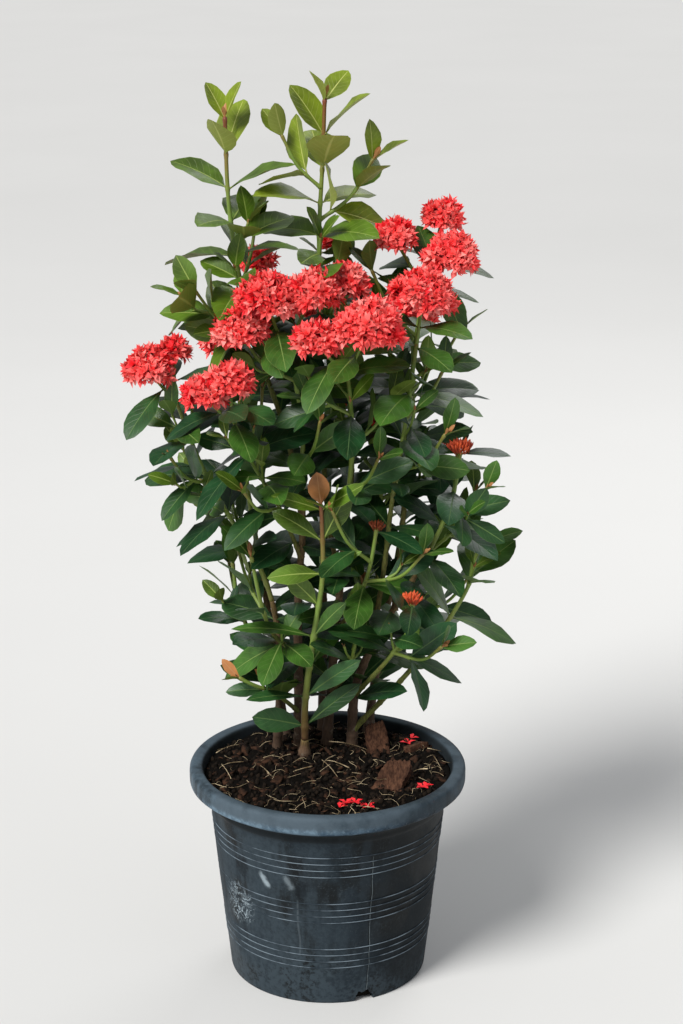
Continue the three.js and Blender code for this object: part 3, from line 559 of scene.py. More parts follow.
def plain_tube(stretch, girth, sides, rows, swell=0.0, trim=0.0, turn=0.0, rooted=False):
    """The plain shape of a limb, stem or twig"""
    rings = np.linspace(0, 1, rows + 1)
    lost = trim / stretch.length
    parts = lost + rings * (1 - lost)
    flare = np.where((rings < 0.01) & rooted, CANE_FLARE, 1)
    angles = 2 * np.pi * np.arange(sides) / sides + turn - pi / 2
    corners = ringed(stretch, parts, (between(girth, parts) * flare + swell)[:, None], angles)
    if rooted:
        corners[0, :, 2] = GROUND + GAP - swell
    ends = [tuple(range(sides)), tuple(range(rows * sides, (rows + 1) * sides))]
    return corners.reshape(-1, 3), band(rows, sides) + ends


def plain_head(centre, radius, seed):
    """The plain shape of a head of blossom or a cluster of buds"""
    sides, rows = (HEAD_SIDES, HEAD_ROWS) if radius > SMALL_HEAD else (BUD_SIDES, BUD_ROWS)
    turns = 2 * np.pi * np.arange(sides) / sides
    corners = [(0, 0, 1)]
    for tip in pi * np.arange(1, rows) / rows:
        out, level = sin(tip), cos(tip)
        corners += [(-cos(a) * out, -sin(a) * out, level) for a in turns]
    corners.append((0, 0, -1))
    reach = [radius * (HEAD_HOLLOW if chance(seed, n) < HEAD_HOLLOW_SHARE else 1)
             for n in range(len(corners))]
    corners = np.array(corners) * np.array(reach)[:, None] * (1, 1, HEAD_FLATNESS) + centre
    last = len(corners) - 1
    return corners, (fan(0, 1, sides) + band(rows - 2, sides, 1, inward=True)
                     + fan(last, last - sides, sides, inward=True))


LEAF_FACES = [(0, 2, 6), (6, 2, 3), (6, 3, 5), (5, 3, 4),
              (1, 2, 0), (1, 3, 2), (1, 4, 3), (1, 5, 4), (1, 6, 5), (1, 0, 6)]


def plain_leaf(leaf, start=0.0, swell=0.0):
    """The plain shape of a leaf: a pointed outline over a keel"""
    right = np.cross(leaf["along"], leaf["up"])
    half = leaf["width"] / 2 + swell

    def corner(part, aside, lift):
        return (leaf["root"] + leaf["along"] * leaf["length"] * part
                - UP * leaf["length"] * leaf["droop"] * part**2 + right * aside + leaf["up"] * lift)

    (low, low_wide), (high, high_wide) = LEAF_LOWER, LEAF_UPPER
    return np.array([
        corner(start, 0, swell), corner(start + KEEL_PART, 0, -leaf["length"] * LEAF_KEEL - swell),
        corner(low, half * low_wide, swell), corner(high, half * high_wide, swell), corner(1, 0, 0),
        corner(high, -half * high_wide, swell), corner(low, -half * low_wide, swell)]), LEAF_FACES


def in_crown(corners):
    return bool(np.all(corners >= CROWN[0]) and np.all(corners <= CROWN[1]))


print("a plain leaf has", len(LEAF_FACES), "faces, a plain head", len(plain_head(0, HEAD_SIDES * 2, 1)[1]))


# %% Stems, twigs and stalks
def new_stem(kind, name, mass, seed, ends, phase, leaf, stretch, girth, sides=STALK_SIDES, rows=2,
             turn=PAIR_TURN):
    return {"kind": kind, "name": name, "mass": mass, "seed": seed, "ends": ends, "phase": phase,
            "leaf": leaf, "stretch": stretch, "girth": girth, "sides": sides, "rows": rows, "turn": turn,
            "axils": []}


def on_axis(stem, part):
    """A place on the axis of a stem, straight from ring to ring, and the direction there"""
    rows = stem["rows"]
    ring = min(rows - 1, int(part * rows))
    ends = stem["stretch"].at([ring / rows, (ring + 1) / rows])[0]
    return between(ends, part * rows - ring), stem["stretch"].at(part)[1][0]


def stem_tube(stem, swell=0.0, trim=0.0):
    return plain_tube(stem["stretch"], stem["girth"], stem["sides"], stem["rows"], swell, trim,
                      radians(stem["phase"] + 45))


def bud_cluster(stem, radius):
    point, tangent = stem["stretch"].tip()
    return plain_head(point + tangent * radius * BUDS_PAST_TIP, radius, stem["seed"])


def main_stem(mass):
    limb = LIMBS[mass["on"]]
    points = [*limb["path"][-2:], *mass["path"]]
    return new_stem("stem", mass["name"], mass, mass["seed"], mass["ends"], mass["phase"], mass["leaf"],
                    Stretch(points, 1, len(points) - 1), (limb["girth"][1], STEM_TIP_RADIUS), STEM_SIDES,
                    len(mass["path"]) + 1, mass.get("turn", PAIR_TURN))


print("the front shoot is", round(main_stem(MASSES["front_shoot"])["stretch"].length), "mm long")


# %% Side twigs and stalks
def side_twig(stem, number, part, bearing, ends="leader"):
    """A twig in the axil of a leaf, tried at one bearing after another until it is clear"""
    point, tangent = on_axis(stem, part)
    seed, tip = stem["seed"] + 0.1 * (number + 1), radians(TWIG_PITCH)
    length = between(TWIG_LENGTH, chance(seed, 1))
    for turn in TWIG_TURNS:
        out = sideways(tangent, radians(bearing + turn))
        along = blend(out, sin(tip), tangent, cos(tip))
        end = point + along * length * 0.85 + UP * length * 0.25
        twig = new_stem("twig", f"{stem['name']}_{number}", stem["mass"], seed, ends, 90 * chance(seed, 2),
                        stem["leaf"] * TWIG_LEAF, Stretch([point, point + along * length * 0.5, end], 0, 2),
                        TWIG_GIRTH)
        clear = in_crown(end) and not meets(stem_tube(twig, 1, TWIG_ROOM))
        if clear and (ends != "buds" or not meets(bud_cluster(twig, TWIG_BUDS + GAP))):
            stem["axils"].append((part, bearing + turn))
            return twig
    return None


def head_stalk(stem, number, head):
    point, tangent = stem["stretch"].tip()
    centre = np.array(head[:3], float)
    points = [point - tangent * STALK_SUNK, (point + centre) / 2 - UP * STALK_SAG, centre]
    seed = stem["seed"]
    return new_stem("stalk", f"{stem['name']}_stalk_{number}", stem["mass"], seed + 0.05 * (number + 1),
                    "head", 180 * chance(seed, number), stem["leaf"] * STALK_LEAF, Stretch(points, 0, 2),
                    STALK_GIRTH)


print("a twig tries", len(TWIG_TURNS), "bearings")


# %% Leaf pairs
def pairs_of(stem):
    """The leaf pairs of a stem, from foot to tip"""
    mass, length = stem["mass"], stem["stretch"].length
    if stem["ends"] == "head":
        pair = {**STALK_PAIR, "bearing": stem["phase"], "length": stem["leaf"]}
        return [pair] if length > STALK_WITH_LEAVES else []
    count = max(2, int(length / mass.get("spacing", INTERNODE) + 0.5))
    young, top, spread = stem["ends"] == "leader", 1 - ABOVE_TOP_PAIR / length, mass.get("spread", 0)
    return [{
        "number": count - 1 - below, "below": below,
        "part": top * (count - 1 - below + FIRST_PAIR) / (count - 1 + FIRST_PAIR),
        "bearing": stem["phase"] + stem["turn"] * (count - 1 - below),
        "pitch": min(76, 26 + 16 * below + spread) if young else max(66, 84 - 6 * below),
        "droop": min(0.18, (0.02 if young else 0.08) + 0.04 * below),
        "length": stem["leaf"] * min(1, (0.58 if young else 0.74) + 0.3 * below),
    } for below in reversed(range(count))]


print("pairs on the front shoot:", len(pairs_of(main_stem(MASSES["front_shoot"]))))


# %% Leaves, each tried until it is clear
def new_leaf(stem, pair, side, root, along, up, length, width, droop=0.0, out=None):
    return {"stem": stem, "pair": pair, "side": side, "root": root, "along": along, "up": up,
            "length": length, "width": width, "droop": droop, "out": out}


def square_to(along, up):
    return unit(up - along * up.dot(along))


def grow_leaf(stem, pair, side):
    """One leaf of a pair, turned or tipped until it is clear of everything, or none"""
    point, tangent = on_axis(stem, pair["part"])
    mass, name = stem["mass"]["name"], stem["name"]
    draw = lambda number: chance(stem["seed"], 10 * pair["number"] + 5 * side + number) - 0.5
    stranger = lambda owner, *_: owner != mass
    kin = lambda owner, stem_name, number: owner == mass and (
        stem_name != name or (number is not None and number != pair["number"]))
    radius = between(stem["girth"], pair["part"])
    for turn, tip in LEAF_TRIES:
        out = sideways(tangent, radians(
            pair["bearing"] + 180 * side + LEAF_JITTER["bearing"] * draw(1) + turn))
        pitch = radians(pair["pitch"] + LEAF_JITTER["pitch"] * draw(2) + tip)
        along = blend(out, sin(pitch), tangent, cos(pitch))
        up = square_to(along, blend(tangent, sin(pitch), out, -cos(pitch)) + LIGHT)
        roll = radians(LEAF_JITTER["roll"] * draw(3))
        up = blend(up, cos(roll), np.cross(along, up), sin(roll))
        length = pair["length"] * (1 + LEAF_JITTER["length"] * draw(4))
        leaf = new_leaf(stem, pair, side, point - out * ROOT_PAST_AXIS * radius, along, up, length,
                        length * LEAF_WIDTH * stem["mass"].get("slim", 1), pair["droop"], out)
        whole, bare = plain_leaf(leaf, 0, GAP), plain_leaf(leaf, BARE_PART, GAP)
        if in_crown(whole[0]) and not meets(whole, stranger) and not meets(bare, kin):
            settle(whole, mass, name, pair["number"])
            return leaf
    return None


def axil_taken(stem, pair, side):
    """Whether a twig has taken the axil of a leaf, which has then fallen"""
    return any(abs(part - pair["part"]) * stem["stretch"].length < AXIL_REACH
               and cos(radians(bearing - pair["bearing"] - 180 * side)) > AXIL_COSINE
               for part, bearing in stem["axils"])


def grown_pair(stem, pair, grow):
    """The leaves of a pair that find room"""
    sides = [side for side in (0, 1) if not axil_taken(stem, pair, side)]
    return [leaf for leaf in (grow(stem, pair, side) for side in sides) if leaf]


print("a leaf tries", len(LEAF_TRIES), "positions")

# %% The growing itself: stems, then buds and heads, then twigs, and the leaves last
stems, heads, bud_tips = [], [], []


def add_stem(stem):
    stems.append(stem)
    settle(stem_tube(stem, GAP), stem["mass"]["name"], stem["name"])


def add_buds(stem, radius):
    settle(bud_cluster(stem, radius + GAP), stem["mass"]["name"], f"{stem['name']}_end")
    bud_tips.append((stem, radius))


for name, limb in LIMBS.items():
    settle(plain_tube(limb_stretch(name), limb["girth"], CANE_SIDES, len(limb["path"]), GAP,
                      rooted="parent" not in limb), name, name)
for mass in MASSES.values():
    add_stem(main_stem(mass))
main_stems = list(stems)
for stem in main_stems:
    mass = stem["mass"]
    if mass["ends"] == "buds":
        add_buds(stem, mass["buds"])
    for number, head in enumerate(mass.get("heads", ())):
        stalk = head_stalk(stem, number, head)
        settle(stem_tube(stalk, GAP), mass["name"], stalk["name"])
        settle(plain_head(np.array(head[:3]), head[3], stalk["seed"]), mass["name"], f"{mass['name']}_end")
        stems.append(stalk)
        heads.append((stalk, np.array(head[:3], float), head[3]))
for stem in main_stems:
    for number, spec in enumerate(stem["mass"].get("twigs", ())):
        twig = side_twig(stem, number, *spec)
        if twig:
            add_stem(twig)
            if twig["ends"] == "buds":
                add_buds(twig, TWIG_BUDS)
leaves = []
for mass in MASSES.values():
    for stem in stems:
        if stem["mass"] is mass:
            for pair in pairs_of(stem):
                leaves += grown_pair(stem, pair, grow_leaf)
print(len(stems), "stems", len(heads), "heads", len(bud_tips), "bud clusters", len(leaves), "leaves")

# %% [markdown]
# ## Finer twigs, leaves on the boughs and the youngest leaves
# Real sprays go one step finer than the solids. Where a full leaf found no room a smaller one
# often does, the boughs and the upper canes still carry pairs of their own, and in many axils a
# short spur has started, with one or two small pairs. They grow by the same rule, after the
# rest, so they only fill room that is free within the same crown.

# %% Smaller leaves where a full one found no room
SHORTER = (0.8, 0.64)


def grow_any(stem, pair, side, shares=(1, *SHORTER)):
    """The longest leaf of a few that is clear of everything"""
    for share in shares:
        leaf = grow_leaf(stem, {**pair, "length": pair["length"] * share}, side)
        if leaf:
            return leaf
    return None


grown = {(leaf["stem"]["name"], leaf["pair"]["number"], leaf["side"]) for leaf in leaves}


def grow_smaller(stem, pair, side):
    """A smaller leaf, where none stands yet"""
    if (stem["name"], pair["number"], side) in grown:
        return None
    return grow_any(stem, pair, side, SHORTER)


for stem in stems:
    for pair in pairs_of(stem):
        leaves += grown_pair(stem, pair, grow_smaller)
print(len(leaves), "leaves with the smaller ones")

# %% Pairs on the boughs and the upper canes
LIMB_PAIRS_FROM = 322
LIMB_PAIR_EVERY = 33
LIMB_LEAF = (60, 82)
LIMB_SPUR_LEAF = 72
BARE_LIMBS = ("front_cane", "right_outer_bough", "low_right_bough", "low_left_bough")
leafy_canes = []
for index, (name, limb) in enumerate(LIMBS.items()):
    if name in BARE_LIMBS:
        continue
    stretch = limb_stretch(name)
    start, end = (float(stretch.at(part)[0][0, 2]) for part in (0.0, 1.0))
    first = max(0.4 if "parent" in limb else 0.0, (LIMB_PAIRS_FROM - start) / (end - start))
    branch = new_stem("limb", name, {"name": name}, 40 + index, "limb", 0, LIMB_SPUR_LEAF, stretch,
                      limb["girth"], CANE_SIDES, len(limb["path"]))
    count = round(stretch.length * (1 - first) / LIMB_PAIR_EVERY)
    for number in range(count):
        leaves += grown_pair(branch, {
            "number": number, "below": 3, "part": first + (0.97 - first) * (number + 0.3) / count,
            "bearing": 90 * number + 77 * index, "pitch": 76 - 12 * chance(index, number),
            "droop": 0.1, "length": between(LIMB_LEAF, chance(index, number + 9))}, grow_any)
    if "parent" not in limb:
        leafy_canes.append((branch, start, end))
print(len(leaves), "leaves with those on the limbs")

# %% Spurs
SPUR_SHARE = 0.8
SPUR_LENGTH = (18, 48)
SPUR_LEAF = (0.58, 0.92)
SPUR_ROOM = 5
HIGHEST_SPUR = 780
TWO_PAIRS_FROM = 24


def spur(parent):
    """A short twig in the axil of a leaf"""
    stem, pair = parent["stem"], parent["pair"]
    seed = stem["seed"] * 1.7 + pair["number"] * 3.1 + parent["side"] * 0.7
    bare = stem["kind"] == "stalk" or pair["below"] == 0 or stem["mass"]["name"] == "front_shoot"
    if bare or chance(seed, 3) > SPUR_SHARE or parent["root"][2] > HIGHEST_SPUR:
        return None
    point, tangent = on_axis(stem, min(0.98, pair["part"] + 3 / stem["stretch"].length))
    length = between(SPUR_LENGTH, chance(seed, 1))
    along = unit(parent["out"] * 0.62 + tangent * 0.78)
    end = point + along * length * 0.8 + UP * length * 0.24
    name = f"{stem['name']}_spur_{pair['number']}_{parent['side']}"
    twig = new_stem("spur", name, stem["mass"], seed, "leader", 90 + 360 * chance(seed, 2),
                    stem["leaf"] * between(SPUR_LEAF, chance(seed, 4)),
                    Stretch([point, point + along * length * 0.5, end], 0, 2), (1.5, 1.1))
    if in_crown(end) and not meets(stem_tube(twig, 0.6, SPUR_ROOM)):
        settle(stem_tube(twig, GAP), stem["mass"]["name"], name)
        return twig
    return None


spurs = [twig for twig in map(spur, list(leaves)) if twig]
for twig in spurs:
    pairs = [{"number": 0, "below": 1, "part": 0.5, "bearing": twig["phase"], "pitch": 62,
              "droop": 0.06, "length": twig["leaf"]},
             {"number": 1, "below": 0, "part": 0.94, "bearing": twig["phase"] + 90, "pitch": 30,
              "droop": 0.02, "length": twig["leaf"] * 0.62}]
    for pair in pairs if twig["stretch"].length > TWO_PAIRS_FROM else pairs[1:]:
        leaves += grown_pair(twig, pair, grow_any)
stems += spurs
print(len(spurs), "spurs,", len(leaves), "leaves with theirs")

# %% The lowest pairs, near the feet of the canes
LOW_PAIR_HEIGHTS = (278, 300)
for index, (branch, start, end) in enumerate(leafy_canes):
    for number, height in enumerate(LOW_PAIR_HEIGHTS):
        leaves += grown_pair(branch, {
            "number": 60 + number, "below": 3, "part": (height - start) / (end - start), "droop": 0.1,
            "bearing": 20 + 65 * index + 90 * number, "pitch": 56, "length": 72}, grow_any)
print(len(leaves), "leaves with the lowest")

# %% The front shoot, whose leaves reach to both sides
# A leaf is given by its direction, its length and width, and how far its face turns from the sky
# to the viewer
FRONT_SHOOT_LEAVES = (
    (((-0.94, -0.2, 0.34), 58, 30, 0.8), ((0.7, -0.1, 0.71), 80, 22, 0.75)),
    (((-0.96, -0.12, 0.26), 80, 20, 0.3), ((0.72, -0.1, 0.68), 78, 22, 0.7)),
    (((-0.92, -0.22, 0.34), 62, 29, 0.62), ((0.64, 0.3, 0.7), 62, 22, 0.7)),
    (((-0.96, -0.1, 0.28), 86, 19, 0.3), ((0.48, -0.46, 0.75), 76, 19, 0.6)),
    (((-0.6, -0.2, 0.78), 52, 23, 0.7), ((0.76, 0.2, 0.62), 66, 24, 0.7)),
    (((-0.94, -0.3, 0.14), 56, 23, 0.6), ((0.7, -0.36, 0.63), 70, 17, 0.45)),
    (((-0.8, 0.2, 0.56), 62, 24, 0.6), ((0.38, -0.16, 0.91), 66, 26, 0.8)),
)
FRONT_SHOOT_TRIES = [(share, turn) for share in (1, 0.86, 0.72) for turn in (0, 10, -10, 20, -20)]
VIEWER = np.array([0.0, -1.0, 0.0])
front_stem = next(stem for stem in stems if stem["name"] == "front_shoot")


def laid_leaf(pair, side, along, length, width, face):
    """A leaf in a given direction, turned a little or shortened until it is clear of the other sprays"""
    point, tangent = on_axis(front_stem, pair["part"])
    x, y, z = unit(np.array(along))
    for share, turn in FRONT_SHOOT_TRIES:
        way = np.array([*turned(x, y, radians(turn)), z])
        leaf = new_leaf(front_stem, pair, side, point, way, square_to(way, blend(UP, 1 - face, VIEWER, face)),
                        length * share, width * share, 0.1)
        if not meets(plain_leaf(leaf, BARE_PART), lambda owner, *_: owner != "front_shoot"):
            return leaf
    return None


leaves = [leaf for leaf in leaves if leaf["stem"] is not front_stem]
for pair, both in zip(pairs_of(front_stem), FRONT_SHOOT_LEAVES):
    laid = [laid_leaf(pair, side, *lie) for side, lie in enumerate(both)]
    leaves += [leaf for leaf in laid if leaf]
print(sum(leaf["stem"] is front_stem for leaf in leaves), "leaves on the front shoot,", len(leaves), "in all")

# %% The folded leaflets at the tips of the leaders, and the top of the front shoot
# That top is a leaf that has turned brown, and a slender pair at its foot. Each is given by its
# direction, the way it faces, its length and width, and its pair's number from the top
FOLDED = {"number": 99, "below": -1}
FRONT_TOP = (
    ((-0.12, -0.2, 1), (0, -1, -0.15), 37, 24, -1),
    ((-0.78, -0.48, 0.42), (0.2, -0.7, 0.7), 60, 19, 0),
    ((0.66, -0.46, 0.58), (-0.35, -0.75, 0.5), 60, 19, 0),
)
for stem in stems:
    if stem["ends"] != "leader":
        continue
    size = 0.55 if stem["kind"] == "spur" else 1.0
    point, tangent = stem["stretch"].tip()
    last = pairs_of(stem)[-1]["bearing"] + 90
    for side in (0, 1):
        out = sideways(tangent, radians(last + 180 * side))
        length = stem["leaf"] * (0.13 + 0.09 * chance(stem["seed"], 71 + side)) * size
        leaves.append(new_leaf(stem, FOLDED, side, point - tangent * 1.5, unit(out * 0.24 + tangent),
                               unit(tangent * 0.24 - out), length, length * 0.36))
    if stem is front_stem:
        for along, up, length, width, below in FRONT_TOP:
            along, root = unit(np.array(along)), point - tangent * (1.5 if below else 6)
            leaves.append(new_leaf(stem, {"number": 99, "below": below}, 0, root, along,
                                   square_to(along, np.array(up)), length, width))
print(len(leaves), "leaves with the leaflets")

# %% [markdown]
# ## Gathering many small shapes
# A thousand objects would be slow, so shapes of one kind are piled into arrays and become one
# mesh. The pile keeps what a material needs to know: which finish a face has, where a corner
# lies on the leaf, how old the wood is, and which edges stay crisp.


# %% A pile of closed shapes
def smooth(mesh, crease=None):
    """Rounds a mesh off, except along edges that turn by more than a crease, in degrees"""
    mesh.polygons.foreach_set("use_smooth", np.ones(len(mesh.polygons), bool))
    if crease:
        mesh.set_sharp_from_angle(angle=radians(crease))
    return mesh


class Pile:
    """Closed shapes that become one mesh"""

    def __init__(self):
        self.corners, self.faces, self.finish, self.places, self.ages, self.crisp = [], [], [], [], [], []
        self.count = 0

    def add(self, corners, faces, finish=None, places=None, ages=None, crisp=None):
        """One shape: its corners, and faces as arrays of corner numbers"""
        number = len(corners)
        self.corners.append(np.array(corners, float))
        self.faces += [tuple(np.array(face) + self.count) for face in faces]
        self.finish += list(finish) if finish is not None else [0] * len(faces)
        self.places.append(places if places is not None else np.zeros((number, 2)))
        self.ages.append(ages if ages is not None else np.zeros(number))
        self.crisp.append(crisp if crisp is not None else np.zeros(number, bool))
        self.count += number

    def mesh(self, name, *materials):
        """The pile as one object in metres"""
        made = bpy.data.meshes.new(name)
        made.from_pydata((np.concatenate(self.corners) * METRES).tolist(), [], self.faces)
        made.polygons.foreach_set("material_index", np.array(self.finish, np.int32))
        loops = np.zeros(len(made.loops), np.int32)
        made.loops.foreach_get("vertex_index", loops)
        made.uv_layers.new(name="UVMap").data.foreach_set(
            "uv", np.concatenate(self.places)[loops].astype(np.float32).ravel())
        made.attributes.new("age", "FLOAT", "POINT").data.foreach_set(
            "value", np.concatenate(self.ages).astype(np.float32))
        edges = np.zeros(len(made.edges) * 2, np.int32)
        made.edges.foreach_get("vertices", edges)
        crisp = np.concatenate(self.crisp)[edges.reshape(-1, 2)].all(1)
        made.attributes.new("sharp_edge", "BOOLEAN", "EDGE").data.foreach_set("value", crisp)
        for material in materials:
            made.materials.append(material)
        return stand(name, smooth(made))


def triangles(piece):
    return sum(len(face.vertices) - 2 for face in piece.data.polygons)


def hand_over(piece, slot, *nodes):
    """Sets a finished piece on the frame's root body and hides the solids that it stands for; the slot is not
    used
    """
    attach(piece, "root")
    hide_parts(*nodes)
    print(piece.name, triangles(piece), "triangles")


# %% [markdown]
# ## Bark
# The canes are woody at the foot: grey-brown, ridged lengthwise, with a raised ring where each
# old leaf pair has fallen. Upwards the bark thins to brown, then green. A plain cylinder would
# show a straight edge, so each limb is swept along its curve in rows 2.4 mm apart, and the
# ridges and rings push the corners in and out. The age of the wood is kept on each corner, and
# the material reads it.


# %% Sweeping a limb
def wobble(angles, lengths, seed):
    """Ridges round and along a limb, from -1 to 1 or so"""
    phase = [6.28 * chance(seed, draw) for draw in range(4)]
    drift = 0.6 * np.sin(lengths / 31 + phase[0])
    return (0.45 * np.sin(3 * angles + drift + phase[1]) + 0.3 * np.sin(5 * angles - drift * 2 + phase[2])
            + 0.35 * np.sin(7 * angles + lengths / 6.5 + phase[3]) * np.sin(lengths / 4.1 + phase[0]))


def sweep(pile, stretch, girth, ages, sides, pace, relief=0.0, rings=(), ring_rise=0.22, ring_reach=2.2,
          foot=1.0, foot_reach=9.0, seed=0.0):
    """A closed tapering tube along a stretch, with raised rings at some parts of it"""
    rows = max(3, round(stretch.length / pace))
    parts = np.linspace(0, 1, rows + 1)
    lengths = parts * stretch.length
    radius = between(girth, parts) * (1 + (foot - 1) * np.exp(-lengths / foot_reach))
    for ring in rings:
        radius = radius * (1 + ring_rise * np.exp(-((lengths - ring * stretch.length) / ring_reach) ** 2))
    angles = 2 * np.pi * np.arange(sides) / sides
    radii = radius[:, None] * (1 + relief * wobble(angles[None], lengths[:, None], seed))
    ends = [tuple(range(sides))[::-1], tuple(range(rows * sides, (rows + 1) * sides))]
    places = np.stack(np.broadcast_arrays(angles[None] / 6.2832, lengths[:, None] / 100), -1)
    age = np.interp(parts, np.linspace(0, 1, len(ages)), ages)
    pile.add(ringed(stretch, parts, radii, angles).reshape(-1, 3), band(rows, sides) + ends,
             places=places.reshape(-1, 2), ages=np.repeat(age, sides))


print("ridges at three places:", np.round(wobble(0.0, np.array([0, 40, 80]), 1), 2))


# %% The bark, and the limbs in it
def wood_age(graph):
    return graph.node("ShaderNodeAttribute", {"attribute_name": "age"}, out=2)


def bark_look(graph):
    where, age = graph.place(), wood_age(graph)
    cork = graph.noise(where, 210, 4, 0.65)
    fibre = graph.noise(graph.place(Scale=(1.0, 1.0, 0.22)), 900, 4, 0.6)
    tone = (age * 0.94 + (cork - 0.5) * 0.42).steps(0.0, 1.0)
    ramp = graph.ramp(tone, (0.0, (86, 66, 50)), (0.26, (116, 90, 66)), (0.5, (122, 100, 58)),
                      (0.72, (116, 118, 54)), (1.0, (122, 134, 60)))
    lichen = graph.noise(where, 120, 3).steps(0.6, 0.72, 0, 0.4) * age.steps(0.1, 0.6, 1, 0)
    base = graph.mix(fibre.steps(0.34, 0.62, 0.55, 0.0), ramp, linear(52, 36, 26))
    return {"Base Color": graph.mix(lichen, base, linear(150, 142, 124)), "Roughness": cork * 0.2 + 0.68,
            "Normal": graph.bump(fibre * 0.6 + cork, 0.55, 0.0006)}


RING_EVERY = 31
GREEN_BOUGHS = ("right_outer_bough", "low_right_bough", "low_left_bough", "left_mid_bough")
BARK_KINDS = {
    "cane": {"sides": 14, "pace": 2.4, "relief": 0.055, "foot": CANE_FLARE, "foot_reach": 9},
    "bough": {"sides": 14, "pace": 2.4, "relief": 0.035, "foot": 1.5, "foot_reach": 6},
}
wood = Pile()
for index, (name, limb) in enumerate(LIMBS.items()):
    stretch, kind = limb_stretch(name), "bough" if "parent" in limb else "cane"
    count = max(1, round(stretch.length / RING_EVERY))
    rings = [(n + 0.4 + 0.3 * chance(index, n)) / count for n in range(count)]
    ages = (0, 0.3, 0.55) if kind == "cane" else (0.72, 1) if name in GREEN_BOUGHS else (0.5, 0.85)
    sweep(wood, stretch, limb["girth"], ages, rings=rings, ring_rise=0.2, ring_reach=1.8, seed=index + 0.5,
          **BARK_KINDS[kind])
hand_over(wood.mesh("canes_and_boughs", finish_of("cane_bark", bark_look)), "bark", *LIMBS)

# %% [markdown]
# ## Green stems
# The stems of the sprays are this year's wood: smooth, yellow-green, thickened where each leaf
# pair stands, and reddish brown towards the tip of a leader. They are swept like the limbs, but
# with fewer sides and longer rows, because there are so many of them.


# %% Stems, twigs, stalks and spurs
def stem_look(graph):
    mottle = graph.noise(graph.place(), 260, 3)
    ramp = graph.ramp(wood_age(graph) + (mottle - 0.5) * 0.2, (0.0, (100, 72, 50)), (0.16, (120, 102, 56)),
                      (0.34, (124, 136, 62)), (0.62, (118, 146, 60)), (0.8, (126, 108, 50)),
                      (1.0, (126, 56, 38)))
    return {"Base Color": ramp, "Roughness": mottle * 0.16 + 0.42, "Normal": graph.bump(mottle, 0.25, 0.0003)}


RED_TOPPED = ("front_shoot", "top_left_shoot", "top_centre_shoot")
AGES = {"twig": (0.45, 0.55, 0.78), "stalk": (0.5, 0.66), "spur": (0.5, 0.66)}
shoots = Pile()
for stem in stems:
    kind, name = stem["kind"], stem["mass"]["name"]
    rings = [] if kind == "stalk" else [pair["part"] for pair in pairs_of(stem)]
    upper = (0.36, 0.55, 0.7, 0.98) if name in RED_TOPPED else (0.4, 0.5, 0.6, 0.72)
    ages = AGES.get(kind, (0.0 if name == "front_shoot" else 0.25, *upper))
    sweep(shoots, stem["stretch"], stem["girth"], ages, 6 if kind == "spur" else 8, 3.2, rings=rings,
          ring_rise=0.3, ring_reach=2.4, foot=1.0 if kind == "stem" else 1.35, foot_reach=4)
hand_over(shoots.mesh("green_stems", finish_of("green_stem", stem_look)), "foliage", *MASSES)

# %% [markdown]
# ## Leaves
# A leaf is broad past its middle, tapers to a very short stalk and ends in a short point. It is
# folded along its pale midrib, its margins wave, and it arches. Each one is a closed shell of
# nearly sixty faces: a top of five strips, the middle one being the midrib, and an underside of
# two. Its colour depends on its age, so old and young leaves are piled apart, and each pile has
# its own top, underside and rib.

# %% The shape of a leaf
LEAF_ROWS = np.array((0.0, 0.075, 0.18, 0.33, 0.49, 0.65, 0.8, 0.92))
COLUMNS = 6
RIB_COLUMN = 2
PETIOLE = 0.07
PETIOLE_HALF = 1.15
RIB_HALF = 0.75
TOP, UNDER, RIB = 0, 1, 2


def leaf_faces():
    """Faces and their finishes, and which corners lie on the crisp margin"""
    wide, rows = COLUMNS, len(LEAF_ROWS)
    tip, keel = wide * rows, wide * rows + 1
    faces, finish = [], []
    for row in range(rows - 1):
        a, low = row * wide, keel + row
        faces += [(a + c, a + c + wide, a + c + wide + 1, a + c + 1) for c in range(wide - 1)]
        finish += [RIB if c == RIB_COLUMN or row == 0 else TOP for c in range(wide - 1)]
        faces += [(a, low, low + 1, a + wide), (low, a + wide - 1, a + 2 * wide - 1, low + 1)]
        finish += [RIB if row == 0 else UNDER] * 2
    a, low = (rows - 1) * wide, keel + rows - 1
    faces += [(a + c, tip, a + c + 1) for c in range(wide - 1)]
    finish += [RIB if c == RIB_COLUMN else TOP for c in range(wide - 1)]
    faces += [(a, low, tip), (low, a + wide - 1, tip), tuple(range(wide)) + (keel,)]
    finish += [UNDER, UNDER, RIB]
    crisp = np.zeros(wide * rows + 1 + rows, bool)
    crisp[[row * wide + side for row in range(1, rows) for side in (0, wide - 1)] + [tip]] = True
    return [face[::-1] for face in faces], finish, crisp


SHELL_FACES, SHELL_FINISH, SHELL_CRISP = leaf_faces()


